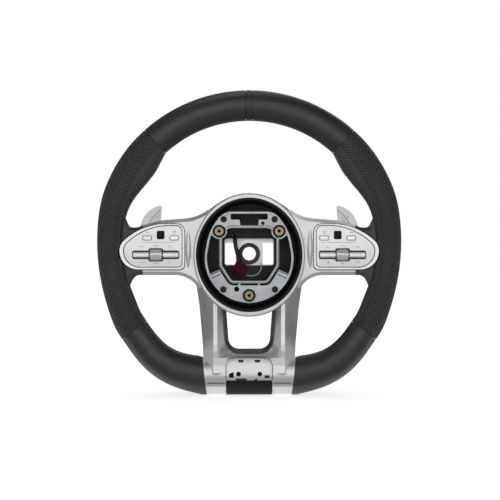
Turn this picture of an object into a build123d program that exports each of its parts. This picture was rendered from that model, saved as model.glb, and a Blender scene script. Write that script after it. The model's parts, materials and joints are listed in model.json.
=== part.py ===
from build123d import *
import math
import os

# Car steering wheel without its airbag module, millimetres.
# Origin on the column axis, in the hub bore. X to the driver's right, Z up, Y from the driver to the column.
# The driver looks along +Y, so a smaller Y is nearer to the driver.

# Rim
rim_mid_y = -50.0           # depth of the middle of the rim's section
rim_centre_z = 13.6         # height of the rim arc's centre above the column axis
wrap_thickness = 1.4        # leather
glue_gap = 0.15             # between the leather and the foam
seam_gap = 0.5              # open seam between two leather panels
marker_width = 8.4          # strip at twelve o'clock
upper_seam_angle = 47.0     # from the horizontal, about the rim arc's centre
lower_seam_angle = -37.4
core_radius = 6.5           # rim core of the casting
core_gap = 0.2              # between the core and the foam

# Lower end of the rim, which runs straight across between the two feet
foot_x = 57.0               # where the rim runs straight
foot_end_x = 54.2           # joint between the leather and the foot, at the middle of the section
foot_end_slant = -6.5       # degrees from the upright, wider at the top
foot_z = -148.1             # height of the section's middle
foot_half_height = 23.1
foot_half_depth = 17.5
foot_shell = 5.6            # wall of the feet, the pad and the lower back cover
foot_split_y = -44.0        # parting line between the front trim and the lower back cover
foot_groove_z = -155.6      # decorative groove across each foot
foot_groove = 1.0           # its width and depth
part_gap = 0.4              # joint between neighbouring trim pieces

# Rim sections: angle about the arc's centre, radius of the middle, half width, half depth, tilt
# The arc runs clockwise from the top seam strip to the right foot.
top_sections = [
    (90.0, 167.0, 18.45, 16.5, 90.0),
    (69.0, 167.3, 18.5, 16.5, 69.0),
    (upper_seam_angle, 168.1, 18.8, 16.8, upper_seam_angle),
]
grip_sections = [
    (upper_seam_angle, 168.1, 18.8, 16.8, upper_seam_angle),
    (42.0, 166.3, 20.9, 17.2, 42.0),
    (35.0, 165.1, 22.3, 17.5, 35.0),
    (27.0, 166.4, 21.0, 17.3, 27.0),
    (18.0, 169.2, 18.1, 17.0, 18.0),
    (7.0, 169.6, 16.0, 16.5, 7.0),
    (-6.0, 169.6, 15.6, 16.3, -6.0),
    (-18.0, 170.6, 16.6, 16.5, -18.0),
    (-27.0, 172.6, 17.9, 16.6, -27.0),
    (lower_seam_angle, 175.8, 18.3, 16.8, lower_seam_angle),
]
foot_rise = rim_centre_z - foot_z
lower_sections = [
    (lower_seam_angle, 175.8, 18.3, 16.8, lower_seam_angle),
    (-46.0, 178.3, 18.8, 16.9, -45.5),
    (-54.0, 179.4, 20.0, 17.1, -58.0),
    (-62.8, 176.0, 21.6, 17.3, -75.0),
    (-math.degrees(math.atan2(foot_rise, foot_x)), math.hypot(foot_rise, foot_x),
     foot_half_height, foot_half_depth, -90.0),
]

# Hub ring of the front bezel, an upright oval
ring_centre_z = -1.3
ring_half_width = 64.7      # opening
ring_half_height = 69.5
ring_band = 5.6             # width of the bead at the top, seen from the front
ring_side_band = 3.2        # width of the bead at the sides
ring_front_y = -58.0
ring_line = 1.7             # fine line round the bead, from its outer edge
ring_groove = 0.7
ring_round = 2.6
bezel_back_y = -30.0
bezel_wall = 3.0
flank_depth = 4.4           # sloping flanks of the side spokes
flank_width = 9.0
valley_half_height = 32.0   # shallow valley between the bead and the pillar of each side spoke
valley_width = 3.3
valley_depth = 1.4
pillar_x = 74.0             # slim bulge beside the switch pack
pillar_z = 6.0
pillar_radius = 3.6
pillar_half_height = 31.0
pillar_sink = 1.6

# Side spokes and their switch packs
spoke_front_y = -53.5
spoke_end_x = 130.0         # where the bezel meets the leather root of the spoke
switch_inner_x = 78.0       # outline of the bright frame
switch_outer_x = 158.5
switch_top_z = 37.1
switch_bottom_z = -19.9
switch_corner = 6.5
switch_crown_x = 100.5      # where the roof starts to fall
switch_crown_radius = 76.0
switch_crown_turn = 44.0
frame_front_y = -57.0
frame_back_y = -50.5
frame_round = 1.4
frame_gap = 0.4             # round the frame in its pocket
panel_inner_x = switch_inner_x + 3.0
panel_outer_x = switch_outer_x - 5.6
panel_top_z = switch_top_z - 2.3
panel_bottom_z = switch_bottom_z + 3.3
panel_corner = 5.0
panel_crown_x = switch_crown_x - 4.5
panel_front_y = -55.0
panel_thickness = 2.0
panel_gap = 0.2
housing_back_y = -40.5
fit_gap = 0.3               # round everything that moves

# Leather root of the spoke: place along X, lower and upper edge, front and back, corner radius
root_top_z = 34.8
root_low_z = -26.0
root_sections = [
    (spoke_end_x, root_low_z, root_top_z, -55.0, -24.0, 4.0),
    (138.0, -27.1, 32.1, -55.0, -24.5, 5.0),
    (143.5, -33.8, 32.4, -54.5, -30.0, 7.0),
    (148.0, -48.8, 37.0, -54.0, -35.5, 7.0),
    (152.0, -57.0, 47.0, -54.0, -37.0, 7.0),
    (158.0, -61.0, 57.0, -53.5, -40.0, 6.0),
]

# Keys, touch pads, rockers and thumb rollers, on the right; the left ones are mirrored
key_x = (91.0, 124.0)
key_z = 19.2
key_length = 10.0
key_height = 4.6
key_proud = 1.0
key_travel = 0.8
pad_x = 107.5
pad_z = 22.8
pad_width = 8.0
pad_height = 8.9
pad_travel = 0.5
flange = 0.9                # retaining flange behind the panel
flange_thickness = 1.4
seat_gap = 0.1              # between the flange and the back of the panel
roller_x = 113.4
roller_z = -1.3
roller_length = 15.0
roller_radius = 6.9
roller_depth = 3.8          # axle behind the panel's face
roller_flutes = 18
flute_radius = 0.55
axle_radius = 1.1
axle_overhang = 2.6
running_gap = 0.05          # round pins and axles
rocker_length = 18.8
rocker_height = 6.4
rocker_rib = 2.4            # height of the bright blade
rocker_trough = 1.3         # depth of the finger troughs behind the panel's face
rocker_thickness = 2.6
rocker_pivot_depth = 8.0    # pivot behind the panel's face
rocker_swing = 5.0          # degrees each way
trunnion_radius = 1.5
trunnion_length = 2.0
rocker_web = 3.0
divider_z = 14.0            # fine line across the panel
divider_length = 38.0
divider_width = 0.5

# Lower spokes: height, outer edge and its depth, both edges and depth of the crest, inner edge and its depth
crest_rows = [
    (-37.0, 64.8, -36.5, 43.8, 39.0, -53.8, 26.0, -36.5),
    (-72.0, 59.6, -39.0, 43.6, 38.8, -54.8, 25.0, -38.5),
    (-98.0, 57.2, -43.5, 43.4, 38.6, -56.5, 24.0, -42.6),
    (-110.0, 56.5, -48.0, 43.4, 38.6, -58.4, 24.0, -48.6),
    (-118.0, 56.1, -52.6, 43.4, 38.5, -60.6, 24.0, -56.8),
    (-126.0, 55.6, -57.0, 43.4, 38.5, -63.6, 24.0, -62.4),
    (-135.0, 54.8, -61.0, 43.4, 38.4, -66.4, 24.0, -65.2),
    (-144.0, 53.8, -63.0, 43.4, 38.4, -67.9, 24.0, -66.4),
    (-153.0, 52.8, -62.0, 43.4, 38.4, -66.2, 24.0, -65.2),
]

# Window between the lower spokes, trim plate and pad below it
window_half_top = 29.4
window_half_bottom = 24.6
window_bottom_z = -116.2
window_corner = 13.0
window_bevel = 3.5
window_sill_y = -36.0       # where the sloping edge meets the straight wall
web_half_width = 34.0
# Front of the web from the window to the pad, and its back: depth and height
web_front = [(-43.0, -99.0), (-48.8, -110.0), (-57.0, -118.0), (-62.6, -126.0), (-65.4, -135.0),
             (-67.1, -148.0), (-66.2, -155.0), (-63.8, -160.0)]
web_back = [(-56.0, -160.0), (-54.0, -134.0), (-44.0, -128.0), (-36.0, -122.0), (-35.0, -99.0)]
badge_half_width = 26.4
badge_top_z = -125.4
badge_bottom_z = -152.8
badge_corner = 15.0
badge_recess = 0.9          # plate below the web's surface
badge_thickness = 2.2
badge_gap = 0.6
badge_ledge = 1.6           # seat of the plate round an open well
badge_well = 9.0            # depth of the well
pad_half_width = 27.6
pad_top_z = -153.6

# Hub: casting, steel insert, shroud, airbag carrier
bore_radius = 8.3
insert_radius = 13.3
insert_front_y = -12.0
insert_back_y = 14.0
spline_radius = 10.2        # serrated socket behind the plain bore
spline_length = 13.0
spline_count = 36
spline_depth = 0.7
plate_radius = 57.0
plate_front_y = -4.0
plate_back_y = 4.0
slot_inner_x = 16.8         # see-through slots beside the hub web
slot_outer_x = 30.0
slot_half_height = 13.6
hub_ribs = 6
arm_thickness = 7.6
arm_low_z = -12.0           # lower edge of the horizontal arms
arm_high_z = 14.0
low_arm_width = 12.0
shroud_front_y = -55.0
shroud_floor_y = -16.0      # front face of the floor
shroud_wall = 2.2
shroud_taper = 4.0          # narrower at the floor by this much
carrier_front_y = -36.0
carrier_thickness = 4.0
carrier_gap = 10.5          # carrier inside the ring's opening
carrier_radius = ring_half_width - carrier_gap
carrier_centre_z = -5.7
carrier_top_z = 51.4
rib_height = 5.0
rib_width = 2.0
rib_ledge = 0.5             # plate showing beside the ribs, round the open pockets
eye_half_width = 33.0       # eight-sided eye of the carrier
eye_top_z = 31.2
eye_bottom_z = -32.7
eye_round = 13.0            # upper corners
eye_rib = 3.2
eye_soft_edge = 0.8
post_radius = 5.4
post_hole = 2.9
post_places = [(31.6, -43.8), (31.2, 42.2)]
bush_radius = 6.0
bush_bore = 2.0
bush_length = 11.0
bush_front_y = -43.0
bush_ring = 1.9             # rubber ring round each bush
bush_collar = 1.6           # metal round the rubber ring
collar_radius = bush_radius + bush_ring + bush_collar
bush_edge = -0.6            # how far the lower collar stays inside the carrier's edge
bush_inset = 17.5           # upper bushes inside the carrier's radius
bush_height = 27.6
bush_low_z = carrier_centre_z - carrier_radius + collar_radius + bush_edge
bush_places = [(carrier_radius - bush_inset, bush_height), (bush_inset - carrier_radius, bush_height),
               (0.0, bush_low_z)]
screw_radius = 2.5          # screws in the carrier's posts
screw_head = 3.8
screw_head_height = 4.0
screw_seat_y = -22.0
lead_x = -18.2              # where the lead comes through the shroud's floor
lead_z = 23.0
lead_radius = 2.5
lead_bends = [5.0, 8.0, 8.0]
lead_plug = (-2.5, 6.5)     # end of the lead in the connector, across and along it
connector_x = -12.6
connector_z = -18.4
connector_turn = -27.0      # degrees from the upright
connector_size = (14.0, 9.0, 17.0)
wire_radius = 0.7
wire_bends = [6.0, 6.0, 6.0]

# Rear cover and paddles
cover_margin = 9.3          # bowl outside the ring's opening
cover_radius = ring_half_width + cover_margin
cover_waist_radius = cover_radius - 5.0     # where the bowl starts to close
cover_waist_y = 0.0
cover_back_radius = cover_radius - 17.0
cover_back_y = 16.0
cover_waist_round = 30.0
cover_back_round = 8.0
cover_opening = 40.0
cover_wall = 2.5
wing_back_y = -23.0
low_wing_top_z = -46.0      # lower wings, where they leave the bowl
low_wing_end_z = -130.0
low_wing_outer = (62.6, 55.4)   # outer edge at the top and at the end
low_wing_inner = (30.2, 27.0)
low_wing_back_y = 8.0
low_wing_knee_y = -13.0
paddle_offset = 8.0         # paddle pivot outside the bowl
paddle_pivot_x = cover_radius + paddle_offset
paddle_pivot_y = -14.0
paddle_front_y = -16.4
paddle_thickness = 3.4
paddle_step = 1.0           # raised crescent on the blade
paddle_crease = 1.2         # groove inside the crescent
barrel_radius = 4.2
barrel_half = 12.0
pin_radius = 2.0
ear_thickness = 4.0
cover_screw_places = [(34.0, 34.0), (34.0, -36.0)]
cover_screw_radius = 1.8
cover_screw_head = 3.4
cover_screw_height = 2.4
cover_screw_sink = 4.0      # seat of the head below the cover's back


def face_plane(depth):
    """Plane facing the driver: local x is X, local y is Z, extrusion runs to the driver."""
    return Plane(origin=(0, depth, 0), x_dir=(1, 0, 0), z_dir=(0, -1, 0))


def slab(sketch, front_y, back_y):
    """Solid between two depths from an outline in X and Z."""
    return extrude(face_plane(back_y) * sketch, amount=back_y - front_y)


def block(x0, x1, y0, y1, z0, z1):
    """Box between two corners."""
    middle = ((x0 + x1) / 2, (y0 + y1) / 2, (z0 + z1) / 2)
    return Pos(*middle) * Box(x1 - x0, y1 - y0, z1 - z0)


def rod_y(x, z, radius, front_y, back_y):
    """Round bar along the column axis."""
    return slab(Pos(x, z) * Circle(radius), front_y, back_y)


def rod_x(x0, x1, y, z, radius):
    """Round bar across the wheel."""
    return Pos((x0 + x1) / 2, y, z) * Rot(0, 90, 0) * Cylinder(radius, x1 - x0)


def rod_z(x, y, z0, z1, radius):
    """Upright round bar."""
    return Pos(x, y, (z0 + z1) / 2) * Cylinder(radius, z1 - z0)


def left_of(part):
    """Mirror image on the driver's left."""
    return mirror(part, about=Plane.YZ)


def both_sides(part):
    """A piece with its mirror image, as one shape."""
    return part + left_of(part)


def closed_outline(*edges):
    """Face from edges that follow each other."""
    return make_face(Wire(list(edges)))


def rounded(width, height, radius):
    """Rectangle with round corners."""
    return RectangleRounded(width, height, radius)


# Rim

def rim_section(section, inset):
    """Oval across the rim at one station."""
    angle, radius, half_width, half_depth, tilt = section
    at = math.radians(angle)
    lean = math.radians(tilt)
    centre = (radius * math.cos(at), rim_mid_y, rim_centre_z + radius * math.sin(at))
    outward = (math.cos(lean), 0, math.sin(lean))
    along = (math.sin(lean), 0, -math.cos(lean))
    plane = Plane(origin=centre, x_dir=outward, z_dir=along)
    return plane * Ellipse(half_width - inset, half_depth - inset)


def mirrored_sections(sections):
    """The same stations on the left half of the rim."""
    return [(180 - a, r, w, d, 180 - t) for a, r, w, d, t in sections]


def rim_length(sections, inset):
    """Stretch of the rim through its stations."""
    return loft([rim_section(s, inset) for s in sections])


def top_arc():
    """Stations of the whole top, from the left upper seam to the right one."""
    return mirrored_sections(top_sections)[:0:-1] + top_sections


def foot_tube(inset, half_length):
    """Straight oval bar across the bottom of the rim."""
    plane = Plane(origin=(-half_length, rim_mid_y, foot_z), x_dir=(0, 0, 1), z_dir=(1, 0, 0))
    oval = plane * Ellipse(foot_half_height - inset, foot_half_depth - inset)
    return extrude(oval, amount=2 * half_length)


def seam_cut(angle, radius):
    """Thin slice that opens the seam between two panels."""
    reach = 60
    slice_ = Box(reach, reach, seam_gap)
    at = math.radians(angle)
    centre = (radius * math.cos(at), rim_mid_y, rim_centre_z + radius * math.sin(at))
    along = (math.sin(at), 0, -math.cos(at))
    return Plane(origin=centre, x_dir=(0, 1, 0), z_dir=along) * slice_


def switch_outline(inner_x, outer_x, bottom_z, top_z, corner, crown_x):
    """Leaf-shaped outline of a switch pack: square towards the hub, round towards the rim."""
    turn = math.radians(switch_crown_turn)
    crown = CenterArc((crown_x, top_z - switch_crown_radius), switch_crown_radius, 90, -switch_crown_turn)
    end = crown @ 1
    nose_radius = (outer_x - end.X) / (1 - math.sin(turn))
    nose_centre_z = end.Y - nose_radius * math.cos(turn)
    nose_turn = 90 - switch_crown_turn
    nose = CenterArc((outer_x - nose_radius, nose_centre_z), nose_radius, nose_turn, -nose_turn)
    chin_radius = nose_centre_z - bottom_z
    chin = CenterArc((outer_x - chin_radius, nose_centre_z), chin_radius, 0, -90)
    base = Line(chin @ 1, (inner_x + corner, bottom_z))
    low = CenterArc((inner_x + corner, bottom_z + corner), corner, -90, -90)
    high_corner = 1.7 * corner
    side = Line(low @ 1, (inner_x, top_z - high_corner))
    high = CenterArc((inner_x + high_corner, top_z - high_corner), high_corner, 180, -90)
    roof = Line(high @ 1, crown @ 0)
    return closed_outline(crown, nose, chin, base, low, side, high, roof)


def frame_outline(grow=0.0):
    """Outside of the switch frame, grown by a clearance."""
    return switch_outline(switch_inner_x - grow, switch_outer_x + grow, switch_bottom_z - grow,
                          switch_top_z + grow, switch_corner + grow, switch_crown_x)


def panel_outline(grow=0.0):
    """Outside of the switch panel, inside the frame, which is widest at its outer end."""
    outline = switch_outline(panel_inner_x, panel_outer_x, panel_bottom_z, panel_top_z, panel_corner,
                             panel_crown_x)
    return offset(outline, amount=grow) if grow else outline


def spoke_root(inset):
    """Leather-covered root of the right spoke, which flares into the rim behind the switch frame."""
    sections = []
    for x, low, high, front, back, corner in root_sections:
        start = x + inset if x == spoke_end_x else x
        plane = Plane(origin=(start, (front + back) / 2, (low + high) / 2), x_dir=(0, 0, 1), z_dir=(1, 0, 0))
        sections.append(plane * rounded(high - low - 2 * inset, back - front - 2 * inset, corner - inset))
    return loft(sections)


def frame_pocket():
    """Room for the right switch pack in the rim, from the front."""
    return slab(frame_outline(frame_gap), rim_mid_y - 40, housing_back_y + frame_gap)


def arm_path():
    """Middle line of the right horizontal arm, from the hub plate to the rim core: x and depth."""
    inside = ring_half_width - 7.7
    outside = ring_half_width + 5.3
    return [(40.0, 0.0), (inside, -1.0), (outside, -23.0), (90.0, -31.0), (136.0, -34.0), (152.0, -44.0),
            (167.0, -48.5)]


def arm_outline(gap):
    """Arm seen from above: a bent strip of even thickness."""
    path = arm_path()
    half = arm_thickness / 2 + gap
    near = [(x, y - half) for x, y in path]
    far = [(x, y + half) for x, y in path]
    return make_face(Polyline(*near, *far[::-1], close=True))


def horizontal_arm(gap=0.0):
    """Right horizontal arm of the casting."""
    floor = Plane(origin=(0, 0, arm_low_z - gap))
    return extrude(floor * arm_outline(gap), amount=arm_high_z - arm_low_z + 2 * gap)


def grip_body(inset):
    """Right grip with its spoke root."""
    return rim_length(grip_sections, inset) + spoke_root(inset)


def wrap_panels():
    """Leather panels of the rim: top halves, marker strip, grips and lower lengths."""
    lining = wrap_thickness
    top = rim_length(top_arc(), 0) - rim_length(top_arc(), lining)
    half_strip = marker_width / 2
    reach = 400
    right_half = block(half_strip + seam_gap / 2, reach, -reach, reach, -reach, reach)
    strip = block(-half_strip + seam_gap / 2, half_strip - seam_gap / 2, -reach, reach, -reach, reach)
    upper_cut = seam_cut(upper_seam_angle, 168)
    lower_cut = seam_cut(lower_seam_angle, 176)
    top_right = (top & right_half) - upper_cut
    grip = grip_body(0) - grip_body(lining) - upper_cut - lower_cut
    grip = grip - frame_pocket() - horizontal_arm(core_gap)
    lower = rim_length(lower_sections, 0) + foot_tube(0, foot_x)
    lower = lower - rim_length(lower_sections, lining) - foot_tube(lining, foot_x) - lower_cut
    lower = lower & beyond_foot(part_gap / 2)
    return {
        "top_marker": top & strip,
        "right_top_wrap": top_right,
        "left_top_wrap": left_of(top_right),
        "right_grip_wrap": grip,
        "left_grip_wrap": left_of(grip),
        "right_lower_wrap": lower,
        "left_lower_wrap": left_of(lower),
    }


def rim_foam():
    """Foam ring on the casting's rim core, under the leather."""
    inset = wrap_thickness + glue_gap
    half = grip_body(inset) + rim_length(lower_sections, inset) - frame_pocket()
    bottom = foot_tube(foot_shell + glue_gap, foot_x)
    ring = rim_length(top_arc(), inset) + both_sides(half) + bottom
    return ring - core_ring(core_gap) - arm_room(core_gap)


def core_ring(gap=0.0):
    """Rim core of the casting."""
    def swell(sections):
        return [(a, r, core_radius + gap, core_radius + gap, t) for a, r, w, d, t in sections]
    side = rim_length(swell(grip_sections), 0) + rim_length(swell(lower_sections), 0)
    plane = Plane(origin=(-foot_x, rim_mid_y, foot_z), x_dir=(0, 0, 1), z_dir=(1, 0, 0))
    bottom = extrude(plane * Circle(core_radius + gap), amount=2 * foot_x)
    return rim_length(swell(top_arc()), 0) + both_sides(side) + bottom


# Casting

def lower_arm(gap=0.0):
    """Right lower arm of the casting, from the hub plate to the core behind the right foot."""
    stations = [(-38.0, 26.0, 0.0), (-58.0, 36.0, 0.0), (-74.0, 41.0, -22.0), (-92.0, 42.0, -29.0),
                (-118.0, 42.0, -36.0), (foot_z, 42.0, rim_mid_y + 4)]
    levels = []
    for z, x, y in stations:
        level = Plane(origin=(x, y, z))
        levels.append(level * Rectangle(low_arm_width + 2 * gap, arm_thickness + 2 * gap))
    return loft(levels, ruled=True)


def side_arms():
    """Both horizontal arms."""
    return [horizontal_arm(), left_of(horizontal_arm())]


def lower_arms():
    """Both lower arms, drilled for the screws of the lower posts."""
    arm = lower_arm()
    for x, z in post_places:
        arm = arm - rod_y(x, z, screw_radius + fit_gap, plate_front_y - 1, plate_back_y + 1)
    return [arm, left_of(arm)]


def arm_room(gap):
    """Space of all four arms with a gap round them."""
    return both_sides(horizontal_arm(gap)) + both_sides(lower_arm(gap))


def rim_core():
    """Round core of the rim, notched for the arms."""
    return core_ring() - arm_room(core_gap)


def armature():
    """Light metal hub plate: see-through slots, ribs on the back, notches for the arms."""
    plate = slab(Circle(plate_radius), plate_front_y, plate_back_y)
    ribs = []
    for turn in range(hub_ribs):
        lean = (turn + 0.5) * 360 / hub_ribs
        rib = block(insert_radius, plate_radius - 4, plate_back_y - 1, plate_back_y + rib_height, -1.5, 1.5)
        ribs.append(Rot(0, lean, 0) * rib)
    boss = rod_y(0, 0, insert_radius + 4, plate_front_y - 1.5, plate_back_y + 6)
    cast = plate + ribs + boss
    slot_width = slot_outer_x - slot_inner_x
    slot = Pos((slot_inner_x + slot_outer_x) / 2, 0) * rounded(slot_width, 2 * slot_half_height, 2)
    cast = cast - both_sides(slab(slot, plate_front_y - 10, plate_back_y + 10))
    cast = cast - rod_y(0, 0, insert_radius + running_gap, -60, 60) - arm_room(fit_gap)
    for x, z in post_places:
        cast = cast - both_sides(rod_y(x, z, screw_radius + running_gap, plate_front_y - 1, plate_back_y + 9))
    for x, z in cover_screw_places:
        hole = rod_y(x, z, cover_screw_radius + running_gap, plate_front_y - 1, plate_back_y + 9)
        cast = cast - both_sides(hole)
    return cast


def hub_insert():
    """Steel insert: plain pilot bore in front, serrated socket behind it."""
    body = rod_y(0, 0, insert_radius, insert_front_y, insert_back_y)
    body = chamfer(body.edges().filter_by(GeomType.CIRCLE), 0.8)
    socket_front = insert_back_y - spline_length
    points = []
    for tooth in range(2 * spline_count):
        reach = spline_radius - (spline_depth if tooth % 2 else 0)
        at = math.pi * tooth / spline_count
        points.append((reach * math.cos(at), reach * math.sin(at)))
    socket = slab(make_face(Polyline(*points, close=True)), socket_front, insert_back_y + 1)
    bore = rod_y(0, 0, bore_radius, insert_front_y - 1, insert_back_y)
    return body - bore - socket


# Front bezel

def ring_oval(share, grow=0.0):
    """Oval of the hub ring: its opening at share 0, the outer edge of its bead at share 1."""
    half_width = ring_half_width + share * ring_side_band + grow
    half_height = ring_half_height + share * ring_band + grow
    return Pos(0, ring_centre_z) * Ellipse(half_width, half_height)


def side_spoke_outline():
    """Right side spoke seen from the front, from inside the hub ring to the leather root."""
    hub_x = 40.0
    edges = [
        Line((hub_x, -43), (hub_x, 53.4)),
        Line((hub_x, 53.4), (51, 53.4)),
        ThreePointArc((51, 53.4), (63, 46.6), (80, 43)),
        Line((80, 43), (107, 40.8)),
        Line((107, 40.8), (spoke_end_x - part_gap, root_top_z)),
        Line((spoke_end_x - part_gap, root_top_z), (spoke_end_x - part_gap, root_low_z)),
        Line((spoke_end_x - part_gap, root_low_z), (90, root_low_z)),
        ThreePointArc((90, root_low_z), (74, -30.4), (61.5, -43)),
        Line((61.5, -43), (hub_x, -43)),
    ]
    return closed_outline(*edges)


def lower_spoke_levels(wall):
    """Cross-sections of the right lower spoke: a narrow crest between two sloping flanks."""
    back = bezel_back_y
    levels = []
    for z, outer, outer_y, crest_out, crest_in, crest_y, inner, inner_y in crest_rows:
        points = [
            (outer - wall, back),
            (outer - wall, outer_y + wall),
            (crest_out - wall / 3, crest_y + 1.4 * wall),
            (crest_in + wall / 3, crest_y + 1.4 * wall),
            (inner + wall, inner_y + wall),
            (inner + wall, back),
        ]
        levels.append(Plane(origin=(0, 0, z)) * make_face(Polyline(*points, close=True)))
    return levels


def window_outline(grow=0.0):
    """Opening between the two lower spokes."""
    top_z = -52.0
    bottom_z = window_bottom_z - grow
    half_top = window_half_top + grow
    half_low = window_half_bottom + grow
    corner = window_corner + grow
    run = FilletPolyline((half_top, top_z), (half_low, bottom_z), (-half_low, bottom_z), (-half_top, top_z),
                         radius=corner)
    return make_face([run, Line((-half_top, top_z), (half_top, top_z))])


def window_cut():
    """Window through the bezel, with sloping edges in front."""
    through = slab(window_outline(), -90, 40)
    wide = face_plane(-72) * window_outline(2 * window_bevel)
    narrow = face_plane(window_sill_y) * window_outline(0)
    return through + loft([wide, narrow], ruled=True)


def badge_outline(grow=0.0):
    """Trim plate at six o'clock: straight foot, round shoulders."""
    half = badge_half_width + grow
    top_z = badge_top_z + grow
    bottom_z = badge_bottom_z - grow
    corners = [(half, bottom_z), (half, top_z), (-half, top_z), (-half, bottom_z)]
    run = FilletPolyline(*corners, radius=badge_corner + grow)
    return make_face([run, Line((-half, bottom_z), (half, bottom_z))])


def foot_wall(outer_inset, inner_inset, half_length):
    """Wall of the oval bar across the bottom."""
    return foot_tube(outer_inset, half_length) - foot_tube(inner_inset, half_length + 5)


def beyond_foot(gap):
    """Everything outside the slanted joint at the right foot, starting a gap away from it."""
    side = Pos(150 + gap, 0, 0) * Box(300, 300, 300)
    return Pos(foot_end_x, rim_mid_y, foot_z) * Rot(0, -foot_end_slant, 0) * side


def front_half():
    """Everything in front of the lower parting line."""
    return block(-200, 200, -120, foot_split_y, -220, 0)


def web(inset=0.0):
    """Web round the lower end of the window, down to the pad, its front set back by an inset."""
    front = Spline(*[(y + inset, z) for y, z in web_front])
    back = Polyline(front @ 1, *web_back, front @ 0)
    plane = Plane(origin=(-web_half_width, 0, 0), x_dir=(0, 1, 0), z_dir=(1, 0, 0))
    return extrude(plane * make_face([front, back]), amount=2 * web_half_width)


def side_valley():
    """Shallow valley between the ring's bead and the pillar of the right spoke."""
    share = valley_half_height / (ring_half_height + ring_band / 2)
    end_x = (ring_half_width + ring_side_band / 2) * math.sqrt(1 - share ** 2)
    high = (end_x, ring_centre_z + valley_half_height)
    low = (end_x, ring_centre_z - valley_half_height)
    reach = ring_half_width + ring_side_band + valley_width
    bow = closed_outline(Line(low, high), ThreePointArc(high, (reach, ring_centre_z), low))
    return slab(bow, ring_front_y, spoke_front_y + valley_depth)


def side_pillar():
    """Slim upright bulge of the right spoke beside the switch pack."""
    tip = pillar_half_height
    bow = ThreePointArc((0, 0, -tip), (pillar_radius, 0, 0), (0, 0, tip))
    spindle = revolve(make_face([bow, Line((0, 0, tip), (0, 0, -tip))]), axis=Axis.Z)
    return Pos(pillar_x, spoke_front_y + pillar_sink, pillar_z) * spindle


def spoke_bezel():
    """Front trim: hub ring with its bead and two side spokes in one moulding."""
    ring = slab(ring_oval(1), ring_front_y, bezel_back_y)
    ring = fillet(ring.edges().sort_by(Axis.Y)[0], ring_round)
    spoke = slab(side_spoke_outline(), spoke_front_y, bezel_back_y)
    front_face = spoke.faces().sort_by(Axis.Y)[0]
    flanks = [e for e in front_face.edges() if e.center().X > 50 and e.center().X < spoke_end_x - 2]
    spoke = chamfer(flanks, length=flank_depth, length2=flank_width, reference=front_face)
    spoke = spoke - side_valley() + side_pillar()
    body = ring + both_sides(spoke) - slab(ring_oval(0), -90, 20)
    line = ring_oval(1, -ring_line) - ring_oval(1, -ring_line - ring_groove)
    line = slab(line, ring_front_y - 1, ring_front_y + ring_groove)
    spoke_hollow = offset(side_spoke_outline(), amount=-bezel_wall) - ring_oval(0, bezel_wall)
    body = body - line - both_sides(slab(spoke_hollow, spoke_front_y + 3 * bezel_wall, bezel_back_y + 1))
    return body - both_sides(frame_pocket()) - arm_room(part_gap)


def lower_spokes():
    """Double lower spoke: two crested spokes, the web between them and two feet round the rim."""
    lower = loft(lower_spoke_levels(0), ruled=True)
    hollow = loft(lower_spoke_levels(bezel_wall), ruled=True) & block(0, 90, -90, -20, -140, -70)
    foot = foot_wall(0, foot_shell, foot_x + 3) & front_half()
    foot = foot - both_sides(beyond_foot(-part_gap / 2))
    pad_edge = pad_half_width + part_gap
    pad_zone = block(-pad_edge, pad_edge, -90, -20, -200, pad_top_z + part_gap)
    body = both_sides(lower - hollow) + web() - window_cut()
    body = body - foot_tube(foot_shell, foot_x + 9) - (foot_tube(-part_gap, foot_x + 9) - front_half())
    leather = foot_tube(-part_gap, foot_x + 9) & beyond_foot(-part_gap / 2)
    body = body - both_sides(leather) + foot - pad_zone
    bezel = slab(ring_oval(1, part_gap), -90, 20)
    side = slab(offset(side_spoke_outline(), amount=part_gap), -90, 20)
    body = body - bezel - both_sides(side) - arm_room(part_gap)
    seat = badge_room(badge_gap, -5, badge_recess + badge_thickness)
    well = badge_room(-badge_ledge, -5, badge_well)
    half_groove = foot_groove / 2
    groove_band = block(-90, 90, -90, foot_split_y, foot_groove_z - half_groove, foot_groove_z + half_groove)
    groove = groove_band & foot_wall(-1, foot_groove, foot_x)
    return body - seat - well - groove


def badge_room(grow, outer_inset, inner_inset):
    """Curved space of the trim plate on the front of the web."""
    return slab(badge_outline(grow), -120, foot_split_y) & (web(outer_inset) - web(inner_inset))


def badge_plate():
    """Bare trim plate that carries the missing cover: clip slots, pin holes and notches."""
    plate = badge_room(0, badge_recess, badge_recess + badge_thickness - glue_gap)
    holes = [
        Pos(-10, -129.8) * rounded(6, 3.2, 0.8),
        Pos(10, -129.8) * rounded(6, 3.2, 0.8),
        Pos(-12.8, -145.2) * Circle(2.9),
        Pos(12.8, -145.2) * Circle(2.9),
        make_face(Polyline((-24.4, -149.6), (-18.8, -149.6), (-18.8, -142.8), (-24.4, -145), close=True)),
        Pos(21.6, -148.4) * rounded(6.2, 3.4, 0.8),
        Pos(-9.6, badge_bottom_z) * rounded(12.6, 4.6, 0.6),
        Pos(8.4, badge_bottom_z) * rounded(2, 4.6, 0.6),
    ]
    for hole in holes:
        plate = plate - slab(hole, -90, foot_split_y)
    return plate


def bottom_pad():
    """Black pad under the trim plate."""
    zone = block(-pad_half_width, pad_half_width, -90, foot_split_y, -200, pad_top_z)
    return foot_wall(0, foot_shell, foot_x) & zone


def lower_back_cover():
    """Back of the rim between the two feet."""
    zone = block(-foot_x, foot_x, foot_split_y + part_gap, 20, -200, -100)
    cover = (foot_wall(0, foot_shell, foot_x) & zone) - both_sides(beyond_foot(-part_gap / 2))
    return cover - both_sides(lower_arm(part_gap))


# Switch packs

def roller_y():
    return panel_front_y + roller_depth


def rocker_y():
    return panel_front_y + rocker_pivot_depth


def rocker_reach():
    """How far the rocker's face moves up and down."""
    return (rocker_pivot_depth + 1.6) * math.sin(math.radians(rocker_swing)) + fit_gap


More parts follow.
